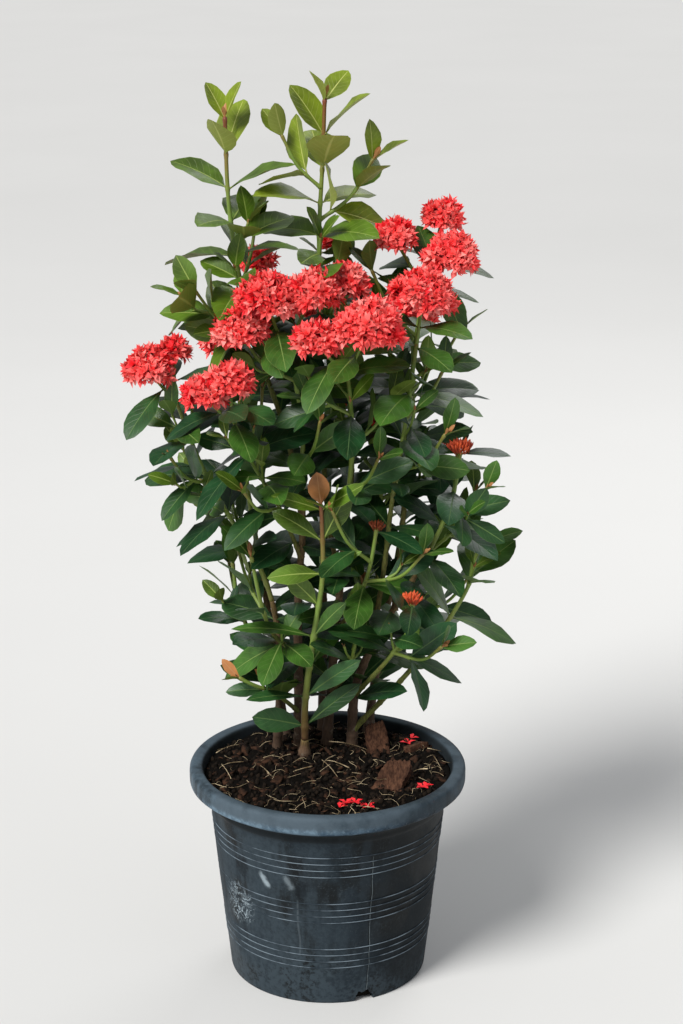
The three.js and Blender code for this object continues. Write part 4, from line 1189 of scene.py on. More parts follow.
def leaf_shell(leaf, seed, fullness, fold, arch):
    """The corners of one leaf. More fullness moves its widest place towards the tip"""
    draw = lambda number: chance(seed, number) - 0.5
    length, v = leaf["length"], LEAF_ROWS
    blade = np.clip((v - PETIOLE) / (1 - PETIOLE), 0, 1)
    width = leaf["width"] / 2 * np.sin(np.pi * blade**fullness) ** (0.86 - 0.2 * blade)
    width = np.maximum(width, PETIOLE_HALF * (1 - 0.5 * v))
    right = np.cross(leaf["along"], leaf["up"])
    arch = arch + 0.08 * draw(1)
    line = (leaf["root"] + np.outer(v * length, leaf["along"]) - np.outer(length * leaf["droop"] * v**2, UP)
            - np.outer(length * arch * (v**2 - 0.55 * v), leaf["up"]))
    tip = (leaf["root"] + leaf["along"] * length - UP * length * leaf["droop"]
           - leaf["up"] * length * arch * 0.45)
    rib = np.minimum(RIB_HALF * (1.1 - 0.8 * v), 0.6 * width)
    twist = 0.24 * draw(2) * v
    fold, wave = fold + 0.16 * draw(3), 0.08 + 0.06 * draw(4)
    corners, places = [], []
    for row in range(len(v)):
        half = width[row]
        aside = np.array([-half, -0.55 * half, -rib[row], rib[row], 0.55 * half, half])
        u = aside / max(half, 1e-6)
        rise = half * (fold * np.abs(u) - 0.2 * u**2) * min(1, blade[row] * 6)
        rise = rise + half * wave * np.sin(6.3 * (1.7 * v[row] + draw(5)) + 2.2 * np.sign(u)) * u**2
        side, lift = turned(aside, rise, twist[row])
        corners.append(line[row] + np.outer(side, right) + np.outer(lift, leaf["up"]))
        places.append(np.stack([u, np.full(COLUMNS, v[row])], 1))
    thick = np.maximum(0.45, PETIOLE_HALF * 1.5 * (1 - v * 4)) + 0.25 * (1 - v)
    keel = line - np.outer(thick, leaf["up"])
    return (np.concatenate([*corners, tip[None], keel]),
            np.concatenate([*places, [[0, 1]], np.stack([0 * v, v], 1)]))


print("a leaf has", len(SHELL_FACES), "faces")


# %% The finish of a leaf
def uv_axes(graph):
    return graph.axes(graph.node("ShaderNodeUVMap", {"uv_map": "UVMap"}))


def leaf_lines(graph):
    """How far a place is from the midrib, 1 at the margin, and the lines of the side veins"""
    aside, along = uv_axes(graph)[:2]
    beside = aside.sum("ABSOLUTE")
    veins = ((along * 8.5 - beside * 2.1).sum("FRACT") - 0.5).sum("ABSOLUTE")
    return beside, veins.steps(0.0, 0.1, 1.0, 0.0) * beside.steps(0.75, 1.0, 1.0, 0.0)


def shades(colour, *shares):
    return [tuple(c * share for c in colour) for share in shares]


def leaf_top_look(graph, colour, vein, gloss):
    where = graph.place()
    beside, groove = leaf_lines(graph)
    blotch, fine = graph.noise(where, 26, 3, 0.6), graph.noise(where, 700, 2)
    shade = graph.mix(blotch.steps(0.3, 0.7), *shades(colour, 0.55, 1.45))
    shade = graph.mix(groove * 0.2, shade, vein)
    return {"Base Color": graph.mix(beside.steps(0.93, 1.0, 0, 0.5), shade, vein),
            "Roughness": blotch * 0.16 + gloss, "Specular IOR Level": 0.34,
            "Coat Weight": 0.12, "Coat Roughness": 0.22,
            "Normal": graph.bump(fine * 0.3 - groove, 0.3, 0.0005)}


def leaf_under_look(graph, colour, vein):
    where = graph.place()
    beside, lines = leaf_lines(graph)
    blotch = graph.noise(where, 60, 3)
    shade = graph.mix(lines * 0.35, graph.mix(blotch, *shades(colour, 0.84, 1.16)), vein)
    return {"Base Color": graph.mix(beside.steps(0.03, 0.1, 0.9, 0), shade, vein),
            "Roughness": blotch * 0.1 + 0.55, "Specular IOR Level": 0.3,
            "Normal": graph.bump(graph.noise(where, 420, 2), 0.2, 0.0004)}


print("a green between", *shades((30, 60, 30), 0.55, 1.45))

# %% Kinds of leaf
# The colours of the top, the underside and the rib, and the roughness of the top
LEAF_KINDS = {
    "deep": ((27, 64, 33), (56, 84, 42), (76, 104, 62), 0.3),
    "dark": ((38, 75, 34), (62, 92, 38), (88, 116, 62), 0.32),
    "full": ((56, 93, 30), (84, 110, 44), (112, 136, 70), 0.35),
    "bright": ((77, 105, 23), (110, 130, 50), (144, 162, 80), 0.38),
    "young": ((113, 131, 31), (146, 157, 72), (184, 190, 108), 0.4),
    "bronze": ((158, 104, 58), (164, 116, 72), (176, 126, 84), 0.42),
}


def kind_of(leaf):
    """The colour of a leaf, from where it grows and how young it is"""
    stem, below, height = leaf["stem"], leaf["pair"]["below"], leaf["root"][2]
    name, draw = stem["mass"]["name"], chance(stem["seed"], 31 + leaf["pair"]["number"])
    if below < 0:
        return "bronze"
    if name in ("top_left_shoot", "top_centre_shoot"):
        if height > 820:
            return "young" if below == 0 or draw > 0.6 else "bright"
        return "bright" if height > 700 or draw > 0.5 else "full"
    if name == "front_shoot":
        return "bright" if below < 4 else "full" if below < 6 else "dark"
    if name == "low_left_spray" and below == 0:
        return ("bronze", "bright")[leaf["side"]]
    if stem["ends"] == "leader" and below == 0:
        return "full" if draw < 0.5 else "bright"
    if height > 640:
        return "full" if draw > 0.45 else "dark"
    if name == "right_outer_shoot":
        return "full"
    return ("deep", "deep", "dark", "dark", "full")[int(draw * 5)]


print("the first leaf is", kind_of(leaves[0]))

# %% Piling up the leaves by colour
piles = {kind: Pile() for kind in LEAF_KINDS}
owners = {kind: set() for kind in LEAF_KINDS}
for number, leaf in enumerate(leaves):
    kind, seed = kind_of(leaf), number * 0.37 + 5
    name = leaf["stem"]["mass"]["name"]
    broad = name in RED_TOPPED and name != "front_shoot" and leaf["pair"]["below"] >= 0
    fullness = 0.86 + 0.2 * chance(seed, 6) if broad else 1.02 + 0.3 * chance(seed, 6)
    slender = 0.96 if name == "front_shoot" else 0.88 + 0.22 * chance(seed, 7)
    shaped = {**leaf, "width": leaf["width"] * (1.22 if broad else slender), "length": leaf["length"] * 1.05}
    corners, places = leaf_shell(shaped, seed, fullness, 0.42 if broad else 0.27, 0.1 if broad else 0.14)
    piles[kind].add(corners, SHELL_FACES, SHELL_FINISH, places, crisp=SHELL_CRISP)
    owners[kind].update({name} & MASSES.keys())
for kind, (*colours, gloss) in LEAF_KINDS.items():
    top, under, rib = (linear(*colour) for colour in colours)
    finishes = [finish_of(f"leaf_{kind}_top", leaf_top_look, top, rib, gloss),
                finish_of(f"leaf_{kind}_under", leaf_under_look, under, rib),
                finish_of(f"leaf_{kind}_rib", leaf_under_look, rib, rib)]
    hand_over(piles[kind].mesh(f"leaves_{kind}", *finishes), "foliage", *sorted(owners[kind]))

# %% [markdown]
# ## Blossom
# A head of this ixora is a dome of dozens of double florets: a thin tube opens into four pointed
# petals that spread, with three more standing up inside them, so the whole head is spiky.
# Setting each by hand would take for ever, and a bumpy ball would look like a sponge. Geometry
# Nodes does it well: points are scattered over a dome, never closer than a floret is wide, and
# one floret is set on each, turned outwards with a little chance. The instances are made real at
# the end, because the finished mesh has to stand alone.

# %% One floret, and a bud
PETAL_FACES = [(0, 3, 1), (0, 2, 3), (1, 3, 4), (2, 5, 3), (3, 5, 4),
               (0, 6, 2), (2, 6, 5), (5, 6, 4), (4, 6, 1), (1, 6, 0)]


def petal(pile, bearing, pitch, length, half, thick=0.45, cup=0.4, bend=0.14, foot=(0, 0, 0)):
    """A pointed petal of ten faces: foot, widest place, tip, and a keel below"""
    out = np.array([cos(bearing), sin(bearing), 0])
    along = out * sin(pitch) + UP * cos(pitch)
    side, up = np.cross(UP, out), UP * sin(pitch) - out * cos(pitch)
    plan = ((0, -0.3, 0), (0, 0.3, 0), (0.55, -1, cup), (0.5, 0, 0), (0.55, 1, cup), (1, 0, 0),
            (0.5, 0, -thick / half))
    corners = [along * length * part - up * length * bend * part**2 + side * half * u + up * half * lift
               for part, u, lift in plan]
    places = [(u, part) for part, u, _ in plan]
    crisp = [True, True, True, False, True, True, False]
    pile.add(np.array(corners) + foot, PETAL_FACES, places=np.array(places), crisp=np.array(crisp))


def spindle(pile, rings, sides):
    """A closed turned shape from heights and radii"""
    angles = 2 * np.pi * np.arange(sides) / sides
    corners = [(r * cos(a), r * sin(a), z) for z, r in rings[1:-1] for a in angles]
    foot, top = len(corners), len(corners) + 1
    corners += [(0, 0, rings[0][0]), (0, 0, rings[-1][0])]
    pile.add(corners, fan(foot, 0, sides, inward=True) + band(len(rings) - 3, sides)
             + fan(top, foot - sides, sides))


def pattern(pile, name):
    """A pile as a small object that only serves to be scattered"""
    made = pile.mesh(name)
    made.hide_render = made.hide_viewport = True
    return made


floret_pile, bud_pile = Pile(), Pile()
for turn in range(4):
    petal(floret_pile, radians(90 * turn + 8), radians(56 + 10 * (turn % 2)), 11.2, 2.7)
for turn in range(3):
    petal(floret_pile, radians(120 * turn + 50), radians(20 + 6 * turn), 10.4, 2.2, bend=0.05)
spindle(floret_pile, ((-9, 0), (0.3, 0.9), (0.6, 0)), 3)
spindle(bud_pile, ((-2, 0), (-1.9, 0.5), (3.6, 0.6), (7, 1.2), (9.4, 1.0), (11.6, 0)), 5)
floret, bud = pattern(floret_pile, "floret_pattern"), pattern(bud_pile, "bud_pattern")
print("a floret has", len(floret.data.polygons), "faces, a bud", len(bud.data.polygons))


# %% Trees of Geometry Nodes
def new_tree(name, labels):
    """A tree that takes a surface and named numbers: its graph, and its inputs by name"""
    tree = bpy.data.node_groups.new(name, "GeometryNodeTree")
    for label in ("Surface", *labels):
        kind = {"Surface": "Geometry", "Seed": "Int"}.get(label, "Float")
        tree.interface.new_socket(name=label, in_out="INPUT", socket_type=f"NodeSocket{kind}")
    tree.interface.new_socket(name="Surface", in_out="OUTPUT", socket_type="NodeSocketGeometry")
    graph = Graph(tree)
    return graph, {socket.name: Flow(graph, socket) for socket in tree.nodes.new("NodeGroupInput").outputs}


def finished_tree(graph, made):
    """Lets a tree give what has been made in it"""
    graph.tree.links.new(made.socket, graph.tree.nodes.new("NodeGroupOutput").inputs["Surface"])
    return graph.tree


print("trees so far:", len(bpy.data.node_groups))


# %% The tree that scatters a thing over a surface
def scatter_tree(name, thing, materials):
    """Scatters an object over a mesh, each copy turned outwards. Each finish after the first
    takes its share of the copies"""
    graph, given = new_tree(name, ("Spacing", "Density", "Seed", "Lean", "Smallest", "Largest"))
    points = graph.node("GeometryNodeDistributePointsOnFaces", {"distribute_method": "POISSON"}, {
        "Mesh": given["Surface"], "Distance Min": given["Spacing"], "Density Max": given["Density"],
        "Seed": given["Seed"]})
    outward = Flow(graph, points.socket.node.outputs["Rotation"])
    x, y, z = graph.axes(graph.node("FunctionNodeRandomValue", {"data_type": "FLOAT_VECTOR"}, {
        0: (-1, -1, -3.14), 1: (1, 1, 3.14), "Seed": 1}))
    tilt = graph.vector(x * given["Lean"], y * given["Lean"], z)
    turned_out = graph.node("FunctionNodeRotateRotation", {"rotation_space": "LOCAL"}, {
        "Rotation": outward, "Rotate By": graph.node("FunctionNodeEulerToRotation", {}, {0: tilt})})
    size = graph.node("FunctionNodeRandomValue", {"data_type": "FLOAT"}, {
        2: given["Smallest"], 3: given["Largest"], "Seed": 2}, out=1)
    copies = graph.node("GeometryNodeInstanceOnPoints", {}, {
        "Points": points, "Rotation": turned_out, "Scale": size,
        "Instance": graph.node("GeometryNodeObjectInfo", {}, {"Object": thing}, out="Geometry")})
    lot = graph.node("FunctionNodeRandomValue", {"data_type": "FLOAT"}, {"Seed": 3}, out=1)
    marked = graph.node("GeometryNodeStoreNamedAttribute", {"data_type": "FLOAT", "domain": "INSTANCE"}, {
        "Geometry": copies, "Name": "lot", "Value": lot})
    real = graph.node("GeometryNodeRealizeInstances", {}, {"Geometry": marked})
    drawn = graph.node("GeometryNodeInputNamedAttribute", {"data_type": "FLOAT"}, {"Name": "lot"})
    for number, (material, share) in enumerate(materials):
        chosen = None if number == 0 else drawn.sum("LESS_THAN", share)
        real = graph.node("GeometryNodeSetMaterial", {}, {
            "Geometry": real, "Selection": chosen, "Material": material})
    return finished_tree(graph, real)


def spread(spacing, density, seed, lean, smallest, largest):
    """The numbers of a scatter tree, with the spacing in millimetres"""
    return {"Spacing": spacing * METRES, "Density": float(density), "Seed": seed, "Lean": lean,
            "Smallest": smallest, "Largest": largest}


print("a tree takes", ", ".join(spread(1, 1, 1, 1, 1, 1)))


# %% What a modifier makes, kept as a mesh
def evaluated_mesh(thing, modifier):
    """What a modifier makes of an object, as a mesh of its own"""
    bpy.context.view_layer.update()
    made = bpy.data.meshes.new_from_object(thing.evaluated_get(bpy.context.evaluated_depsgraph_get()))
    thing.modifiers.remove(modifier)
    return smooth(made)


def grown_mesh(pile, tree, values, name):
    """Runs a tree on the surface of a pile and keeps the result as a plain mesh"""
    surface = pile.mesh(f"{name}_ground")
    modifier = surface.modifiers.new("grow", "NODES")
    modifier.node_group = tree
    for item in tree.interface.items_tree:
        if item.in_out == "INPUT" and item.name in values:
            modifier[item.identifier] = values[item.name]
    made = evaluated_mesh(surface, modifier)
    bpy.data.objects.remove(surface)
    made.name = name
    return stand(name, made)


print(len(heads), "heads are to grow")


# %% Domes to scatter on, and a dark red dome under the florets: painted shade inside a head
LOWEST_FLORET = -0.28
LOWEST_HEART = -0.38


def dome(pile, centre, radius, sides, rows, lowest, lumps=0.0, seed=0.0, closed=True):
    """A ball flattened a little, with lumps, cut off below at a part of its height"""
    rings = [(0, 0, 1)]
    angles = 2 * np.pi * np.arange(sides) / sides
    for row in range(1, rows + 1):
        tip = acos(lowest) * row / rows
        rings += [(sin(tip) * cos(a), sin(tip) * sin(a), cos(tip)) for a in angles]
    rings = np.array(rings)
    waves = np.sin(2.6 * rings @ [1.3, -0.7, 0.9] + seed) * np.sin(3.4 * rings @ [-0.4, 1.2, 1.1] + 2 * seed)
    corners = rings * (1 + lumps * waves)[:, None] * radius * (1, 1, HEAD_FLATNESS) + centre
    faces = fan(0, 1, sides) + band(rows - 1, sides, 1, inward=True)
    if closed:
        faces.append(tuple(1 + (rows - 1) * sides + k for k in range(sides))[::-1])
    pile.add(corners, faces)


print("the lowest florets stand", -LOWEST_FLORET, "of a radius below the middle of a head")


# %% Petals, and the heads of blossom
def petal_look(graph, colour, deep, foot=None):
    """Petals vary at random between two reds; a given foot colour darkens their lower part as painted shade
    """
    where = graph.place()
    blush, fine = graph.noise(where, 75, 3), graph.noise(where, 420, 2)
    tone = graph.mix(blush.steps(0.3, 0.6), linear(*deep), linear(*colour))
    if foot:
        tone = graph.layers(tone, (uv_axes(graph)[1].steps(0.0, 0.42, 1, 0), foot))
    return {"Base Color": tone, "Roughness": fine * 0.16 + 0.5, "Specular IOR Level": 0.3,
            "Normal": graph.bump(fine, 0.25, 0.0004)}


# painted shade: the deep red that darkens the foot of each petal, where the petals meet
FOOT_SHADE_RED = (206, 18, 34)
PETAL_CORAL = finish_of("petal_coral", petal_look, (255, 110, 106), (255, 66, 70), FOOT_SHADE_RED)
PETAL_PINK = finish_of("petal_pink", petal_look, (255, 150, 142), (255, 104, 102), FOOT_SHADE_RED)
PETAL_DEEP = finish_of("petal_deep", petal_look, (252, 54, 62), (232, 32, 46), FOOT_SHADE_RED)
# painted shade: the dark red dome inside each head
SHADED_HEART_RED = finish_of("blossom_heart", petal_look, (196, 18, 32), (150, 12, 24))
FLORET_REACH = 6.5
HEART_BELOW = 1.5
BLOSSOM_SPREAD = spread(5.2, 160000, 7, 0.45, 0.76, 1.24)
blossom_tree = scatter_tree("scatter_florets", floret,
                            [(PETAL_CORAL, 1), (PETAL_PINK, 0.42), (PETAL_DEEP, 0.12)])


def side_of(centre):
    if centre[1] > 60:
        return "back"
    return "left" if centre[0] < -70 else "right" if centre[0] > 60 else "middle"


def owners_of(grown_stems):
    return sorted({stem["mass"]["name"] for stem in grown_stems})


for side in ("left", "middle", "right", "back"):
    group = [head for head in heads if side_of(head[1]) == side]
    ground, shaded_hearts = Pile(), Pile()
    for stalk, centre, radius in group:
        reach = radius - FLORET_REACH
        dome(ground, centre, reach, 24, 10, LOWEST_FLORET, 0.2, centre[0], closed=False)
        dome(shaded_hearts, centre, reach - HEART_BELOW, 20, 9, LOWEST_HEART, 0.2, centre[0])
    blossom = grown_mesh(ground, blossom_tree, BLOSSOM_SPREAD, f"blossom_{side}")
    nodes = owners_of(stalk for stalk, _, _ in group)
    hand_over(blossom, "foliage", *nodes)
    hand_over(shaded_hearts.mesh(f"blossom_hearts_{side}", SHADED_HEART_RED), "foliage", *nodes)

# %% [markdown]
# ## Buds
# Some sprays have not opened yet. Their ends carry an upright tuft of slim pointed buds: the
# smallest are brown, the next orange, and the ripest red. The same tree scatters them over a
# small flat dome at the tip of the stem.

# %% Tufts of buds
# A kind is its colour, its deeper colour, and the scale of its smallest and its largest bud
BUD_KINDS = {
    "red": ((214, 42, 42), (168, 26, 30), 0.8, 1.12),
    "orange": ((226, 98, 56), (178, 66, 44), 0.8, 1.12),
    "brown": ((168, 82, 48), (120, 58, 38), 0.55, 0.8),
}
BUD_COLOURS = {"right_bud_spray": "orange", "heart_spray": "brown", "low_right_spray": "orange"}
for kind, (colour, deep, smallest, largest) in BUD_KINDS.items():
    tips = [(stem, radius) for stem, radius in bud_tips
            if BUD_COLOURS.get(stem["mass"]["name"], "red") == kind]
    finish = finish_of(f"bud_{kind}", petal_look, colour, deep)
    tree = scatter_tree(f"scatter_{kind}_buds", bud, [(finish, 1)])
    ground = Pile()
    for stem, radius in tips:
        dome(ground, stem["stretch"].tip()[0] - UP * radius * 0.72, radius * 0.95, 12, 5, 0.74, closed=False)
    buds = grown_mesh(ground, tree, spread(1.5, 1400000, 3, 0.24, smallest, largest), f"buds_{kind}")
    hand_over(buds, "foliage", *owners_of(stem for stem, _ in tips))

# %% [markdown]
# ## The pot
# A nursery pot is blow-moulded: a tapering wall, a shoulder, and a broad rolled rim. It is turned
# on a lathe from its outline, fine enough that the rim is round from near by, and the thin old
# wall is pushed a little out of round, with a few dents. The drain holes and the broken notch in
# the foot are cut with a Boolean, as they are in the solid.

# %% The turned wall
POT_FOOT, POT_NECK, NECK_HEIGHT = 106.5, 127.5, 200
WALL_ROWS = [(106.6 + (126.9 - 106.6) * n / 40, 2 + 192 * n / 40) for n in range(41)]
POT_OUTLINE = (
    (0, 0), (60, 0), (104.5, 0), (106, 0.5), *WALL_ROWS, (127.6, 196), (128.6, 197.5), (129.0, 200),
    (129.2, 203), (130.4, 205.4), (146.4, 214.6), (148.2, 216.2), (148.8, 218.4), (148.9, 221), (148.9, 228),
    (148.6, 230.6), (147.6, 232.6), (145.6, 233.7), (143.4, 234), (138.4, 233.8), (136, 233.1),
    (134.6, 231.6), (134, 229), (133.2, 224), (131.2, 216), (127.4, 204), (124.9, 194), (104.3, 5.5),
    (102.8, 4), (60, 4), (0, 4))
DENTS = ((-124, 141, 5, 13, 1.7), (-110, 144, 4, 12, 1.3), (-141, 60, 12, 16, 0.9), (-40, 100, 14, 22, 0.8))
POT_TURNS = 168
DRAIN_HOLES, DRAIN_RADIUS, DRAIN_CIRCLE = 5, 6, 68
NOTCH_BEARING = -68.5
NOTCH_EDGE = ((-11, -6), (11, -6), (10.6, 1), (11, 4), (9, 6.5), (7.6, 7), (6, 9), (4.6, 12.2), (3, 13),
              (0.4, 11.4), (-3, 10), (-5, 11.8), (-7, 12), (-8.2, 8.6), (-9.6, 7.4), (-9, 5), (-10.4, 2))


def uneven(bearing, level, radius):
    """How far the wall stands in or out: old thin plastic is a little out of round, and dented"""
    if radius < 103 or level > 214:
        return 0
    shift = 0.45 * sin(2 * bearing + 0.7) * sin(level / 64)
    shift += 0.2 * sin(5 * bearing + level / 30)
    for middle, height, wide, tall, deep in DENTS if radius > POT_FOOT + 0.1 * level else ():
        away = (degrees(bearing) - middle + 180) % 360 - 180
        shift -= deep * exp(-(away / wide) ** 2 - ((level - height) / tall) ** 2)
    return shift * min(1, level / 20)


def turned_mesh(name, outline, turns):
    """An outline of radii and heights, turned about the upright axis. Its ends lie on the axis"""
    angles = 2 * np.pi * np.arange(turns) / turns
    corners = [(0, 0, outline[0][1]), (0, 0, outline[-1][1])]
    for r, z in outline[1:-1]:
        reaches = [r + uneven(a, z, r) for a in angles]
        corners += [(reach * cos(a), reach * sin(a), z) for reach, a in zip(reaches, angles)]
    last = len(outline) - 3
    made = bpy.data.meshes.new(name)
    made.from_pydata((np.array(corners, float) * METRES).tolist(), [], fan(0, 2, turns, inward=True)
                     + band(last, turns, 2) + fan(1, 2 + last * turns, turns))
    return stand(name, made)


def prism(pile, edge, start, end, to_place):
    """A closed prism over an outline, put in place by a function"""
    count = len(edge)
    corners = [to_place(x, y, depth) for depth in (start, end) for x, y in edge]
    pile.add(corners, [*band(1, count), tuple(range(count))[::-1], tuple(range(count, 2 * count))])


pot = turned_mesh("pot_body", POT_OUTLINE, POT_TURNS)
cutters = Pile()
circle = [(cos(a) * DRAIN_RADIUS, sin(a) * DRAIN_RADIUS) for a in np.arange(24) * pi / 12]
for hole in range(DRAIN_HOLES):
    turn = 2 * pi * hole / DRAIN_HOLES
    prism(cutters, circle, -5, 10, lambda x, y, depth: (
        DRAIN_CIRCLE * cos(turn) + x, DRAIN_CIRCLE * sin(turn) + y, depth))
prism(cutters, NOTCH_EDGE, 116, 97, lambda x, y, depth: (*turned(depth, x, radians(NOTCH_BEARING)), y))
cutter = cutters.mesh("pot_cutters")
bm = bmesh.new()
bm.from_mesh(cutter.data)
bmesh.ops.recalc_face_normals(bm, faces=bm.faces)
bm.to_mesh(cutter.data)
bm.free()
cut = pot.modifiers.new("cut", "BOOLEAN")
cut.operation, cut.object, cut.solver = "DIFFERENCE", cutter, "EXACT"
pot.data = smooth(evaluated_mesh(pot, cut), 38)
bpy.data.objects.remove(cutter)
print("pot", len(pot.data.polygons), "faces")


# %% [markdown]
# ## The look of the pot
# Black plastic that has stood outdoors is a dusty blue-grey, paler where dust clings, with chalky
# scuffs and fine scratches, and here a hairline crack above the notch. Light and shade are painted
# in as well: the side towards the light is paler and the far side darker, the shoulder under the
# rim and everything nearer the axis than the rim's top are darkened, and the dents carry painted
# highlights with painted shade beside them. All of it is a matter of place on the wall: the bearing
# round the axis and the height give each mark its position, and noise breaks up its edges.

# %% Weathered plastic
CHALK = (146, 160, 168)
STREAK_BEARING = -105
# the side with the most dust, which is also made paler as painted light; the far side gets painted shade
DUST_AND_LIGHT_SIDE = radians(-145)


def pot_look(graph):
    where = graph.place()
    x, y, z = graph.axes(where)
    bearing, level = y.sum("ARCTAN2", x) * (180 / pi), z / METRES
    out = (x * x + y * y).sum("SQRT") / METRES
    cloud, grit = graph.noise(where, 17, 5, 0.62), graph.noise(where, 190, 4, 0.68)
    broad, speck = graph.noise(where, 9, 2), graph.noise(where, 480, 2, 0.5)
    streaks = graph.noise(graph.place(Scale=(1, 1, 0.12)), 60, 4)

    def near(middle, height, wide, tall):
        """A soft-edged patch on the wall: 1 in its middle, 0 outside"""
        away = ((bearing - middle) / wide) ** 2 + ((level - height) / tall) ** 2
        return (away + (grit - 0.5) * 1.5).steps(0.2, 1.2, 1, 0)

    def line(middle, wide, low, high):
        """A thin upright line that wavers"""
        away = (bearing - middle + (graph.noise(where, 30, 2) - 0.5) * 3).sum("ABSOLUTE")
        span = level.steps(high - 5, high, 1, 0)
        return away.steps(wide * 0.4, wide, 1, 0) * span * level.steps(low - 5, low)

    def scuff_and_highlight(shift, thin, patch):
        """A slanting pale mark within a patch: a chalky scuff that is also a painted highlight"""
        away = (bearing + level * 0.28 + shift).sum("ABSOLUTE") + (grit - 0.5) * 4
        return away.steps(thin, 3, 1, 0) * patch

    dust = (cloud * 0.6 + broad * 0.4).steps(0.43, 0.57)
    # dust and painted light on the side towards the light, painted shade on the far side, and the foot
    # paler where soil has splashed
    dust_and_light_facing = (x * cos(DUST_AND_LIGHT_SIDE) + y * sin(DUST_AND_LIGHT_SIDE)) / (out * METRES)
    left = dust_and_light_facing.steps(0.1, 0.9) * (cloud * 0.5 + streaks * 0.5).steps(0.4, 0.56) * 0.85
    foot = (level + cloud * 260 - 130).steps(6, 74, 0.85, 0) * grit.steps(0.34, 0.56)
    # the rolled rim holds the most dust; the shoulder beneath it is darkened as painted shade, the rim's
    # shadow
    rim = (level - grit * 7).steps(212, 220) * dust.steps(0, 1, 0.7, 0.92)
    shade = level.steps(193, 199) * level.steps(207, 215, 1, 0) * out.steps(126, 128)
    # painted shade: two dark patches beside the dents
    painted_dent_shade = near(-137, 150, 5, 15) + near(-103, 138, 4, 13)
    # chalky marks: two dents, each a pale scuff that is also a painted highlight, a knot of scratches
    # and a faint streak
    scratch = (graph.noise(where, 95, 3, 0.5) - 0.5).sum("ABSOLUTE").steps(0.004, 0.03, 1, 0)
    knot = near(-143, 102, 12, 27)
    dent_scuff_and_highlight, other = scuff_and_highlight(83.5, 0.2, near(-122, 144, 5, 11)), scuff_and_highlight(69, 0.1, near(-109, 146, 5, 10))
    marks = dent_scuff_and_highlight * 0.9 + other * 0.4 + knot * scratch * 0.9 + knot * grit.steps(0.48, 0.62) * 0.4
    marks = marks + line(STREAK_BEARING, 0.7, 62, 128) * 0.1
    # the hairline crack above the notch: a pale lip with a dark gap at its left
    gap, lip = line(NOTCH_BEARING + 0.9, 0.26, 14, 178), line(NOTCH_BEARING + 1.25, 0.24, 14, 178)
    base = graph.layers(
        graph.mix(dust, linear(16, 25, 33), linear(58, 80, 99)),
        (streaks.steps(0.47, 0.62, 0, 0.6), (76, 98, 116)),
        (grit.steps(0.5, 0.62, 0, 0.4) * dust.steps(0, 1, 0.4, 1), (96, 116, 131)),
        (speck.steps(0.6, 0.66, 0, 0.5), (126, 140, 150)),
        # painted shade: the side away from the light is darkened
        (dust_and_light_facing.steps(-0.1, 0.45, 0.6, 0), (10, 13, 16)),
        # dust on the side towards the light, paler in part as painted light, and soil splashed on the foot
        ((left + foot).sum("MINIMUM", 1) * grit.steps(0.34, 0.6, 0.5, 1), (122, 146, 163)),
        (rim, graph.mix(cloud.steps(0.36, 0.62), linear(50, 61, 68), linear(76, 88, 97))),
        # painted shade: the rim's shadow on the shoulder
        (shade * 0.75, (20, 25, 28)),
        # painted shade for the inside of the rim: all nearer the axis than 134 mm darkens, the wall below the
        # rim too
        (out.steps(134, 137, 0.85, 0), (24, 27, 28)),
        # painted shade beside the dents
        (painted_dent_shade * 0.6, (12, 17, 22)),
        (marks.sum("MINIMUM", 1), CHALK),
        (gap * 0.9, (12, 14, 16)),
        (lip * grit.steps(0.3, 0.6, 0.2, 0.6), (122, 134, 138)))
    return {"Base Color": base, "Roughness": dust * 0.2 + 0.5, "Specular IOR Level": 0.12,
            "Normal": graph.bump(grit * 0.5 + cloud * 0.8 + speck * 0.2 - gap * 2, 0.5, 0.0009)}


def rib_look(graph):
    worn = graph.noise(graph.place(), 24, 4, 0.6)
    return {"Base Color": graph.mix(worn.steps(0.38, 0.6), linear(44, 54, 62), linear(112, 125, 135)),
            "Roughness": 0.66, "Specular IOR Level": 0.15}


pot.data.materials.clear()
pot.data.materials.append(finish_of("weathered_plastic", pot_look))
hand_over(pot, "pot_plastic", "pot")

# %% [markdown]
# ## The ribs
# Three bands of four fine ribs run round the wall. Twelve rings of the right width could be
# modelled one by one, but they follow a rule, so a small tree makes them: a circle on a line of
# four points, that on a line of three, and each ring then widened to the wall at its height.

# %% A tree for ribs on a tapering wall
RIB_SIZES = {"Lowest": 44.3, "Rib Pitch": 7.7, "Band Pitch": 55.5, "Foot Radius": POT_FOOT + 0.1,
             "Thickness": 0.5}


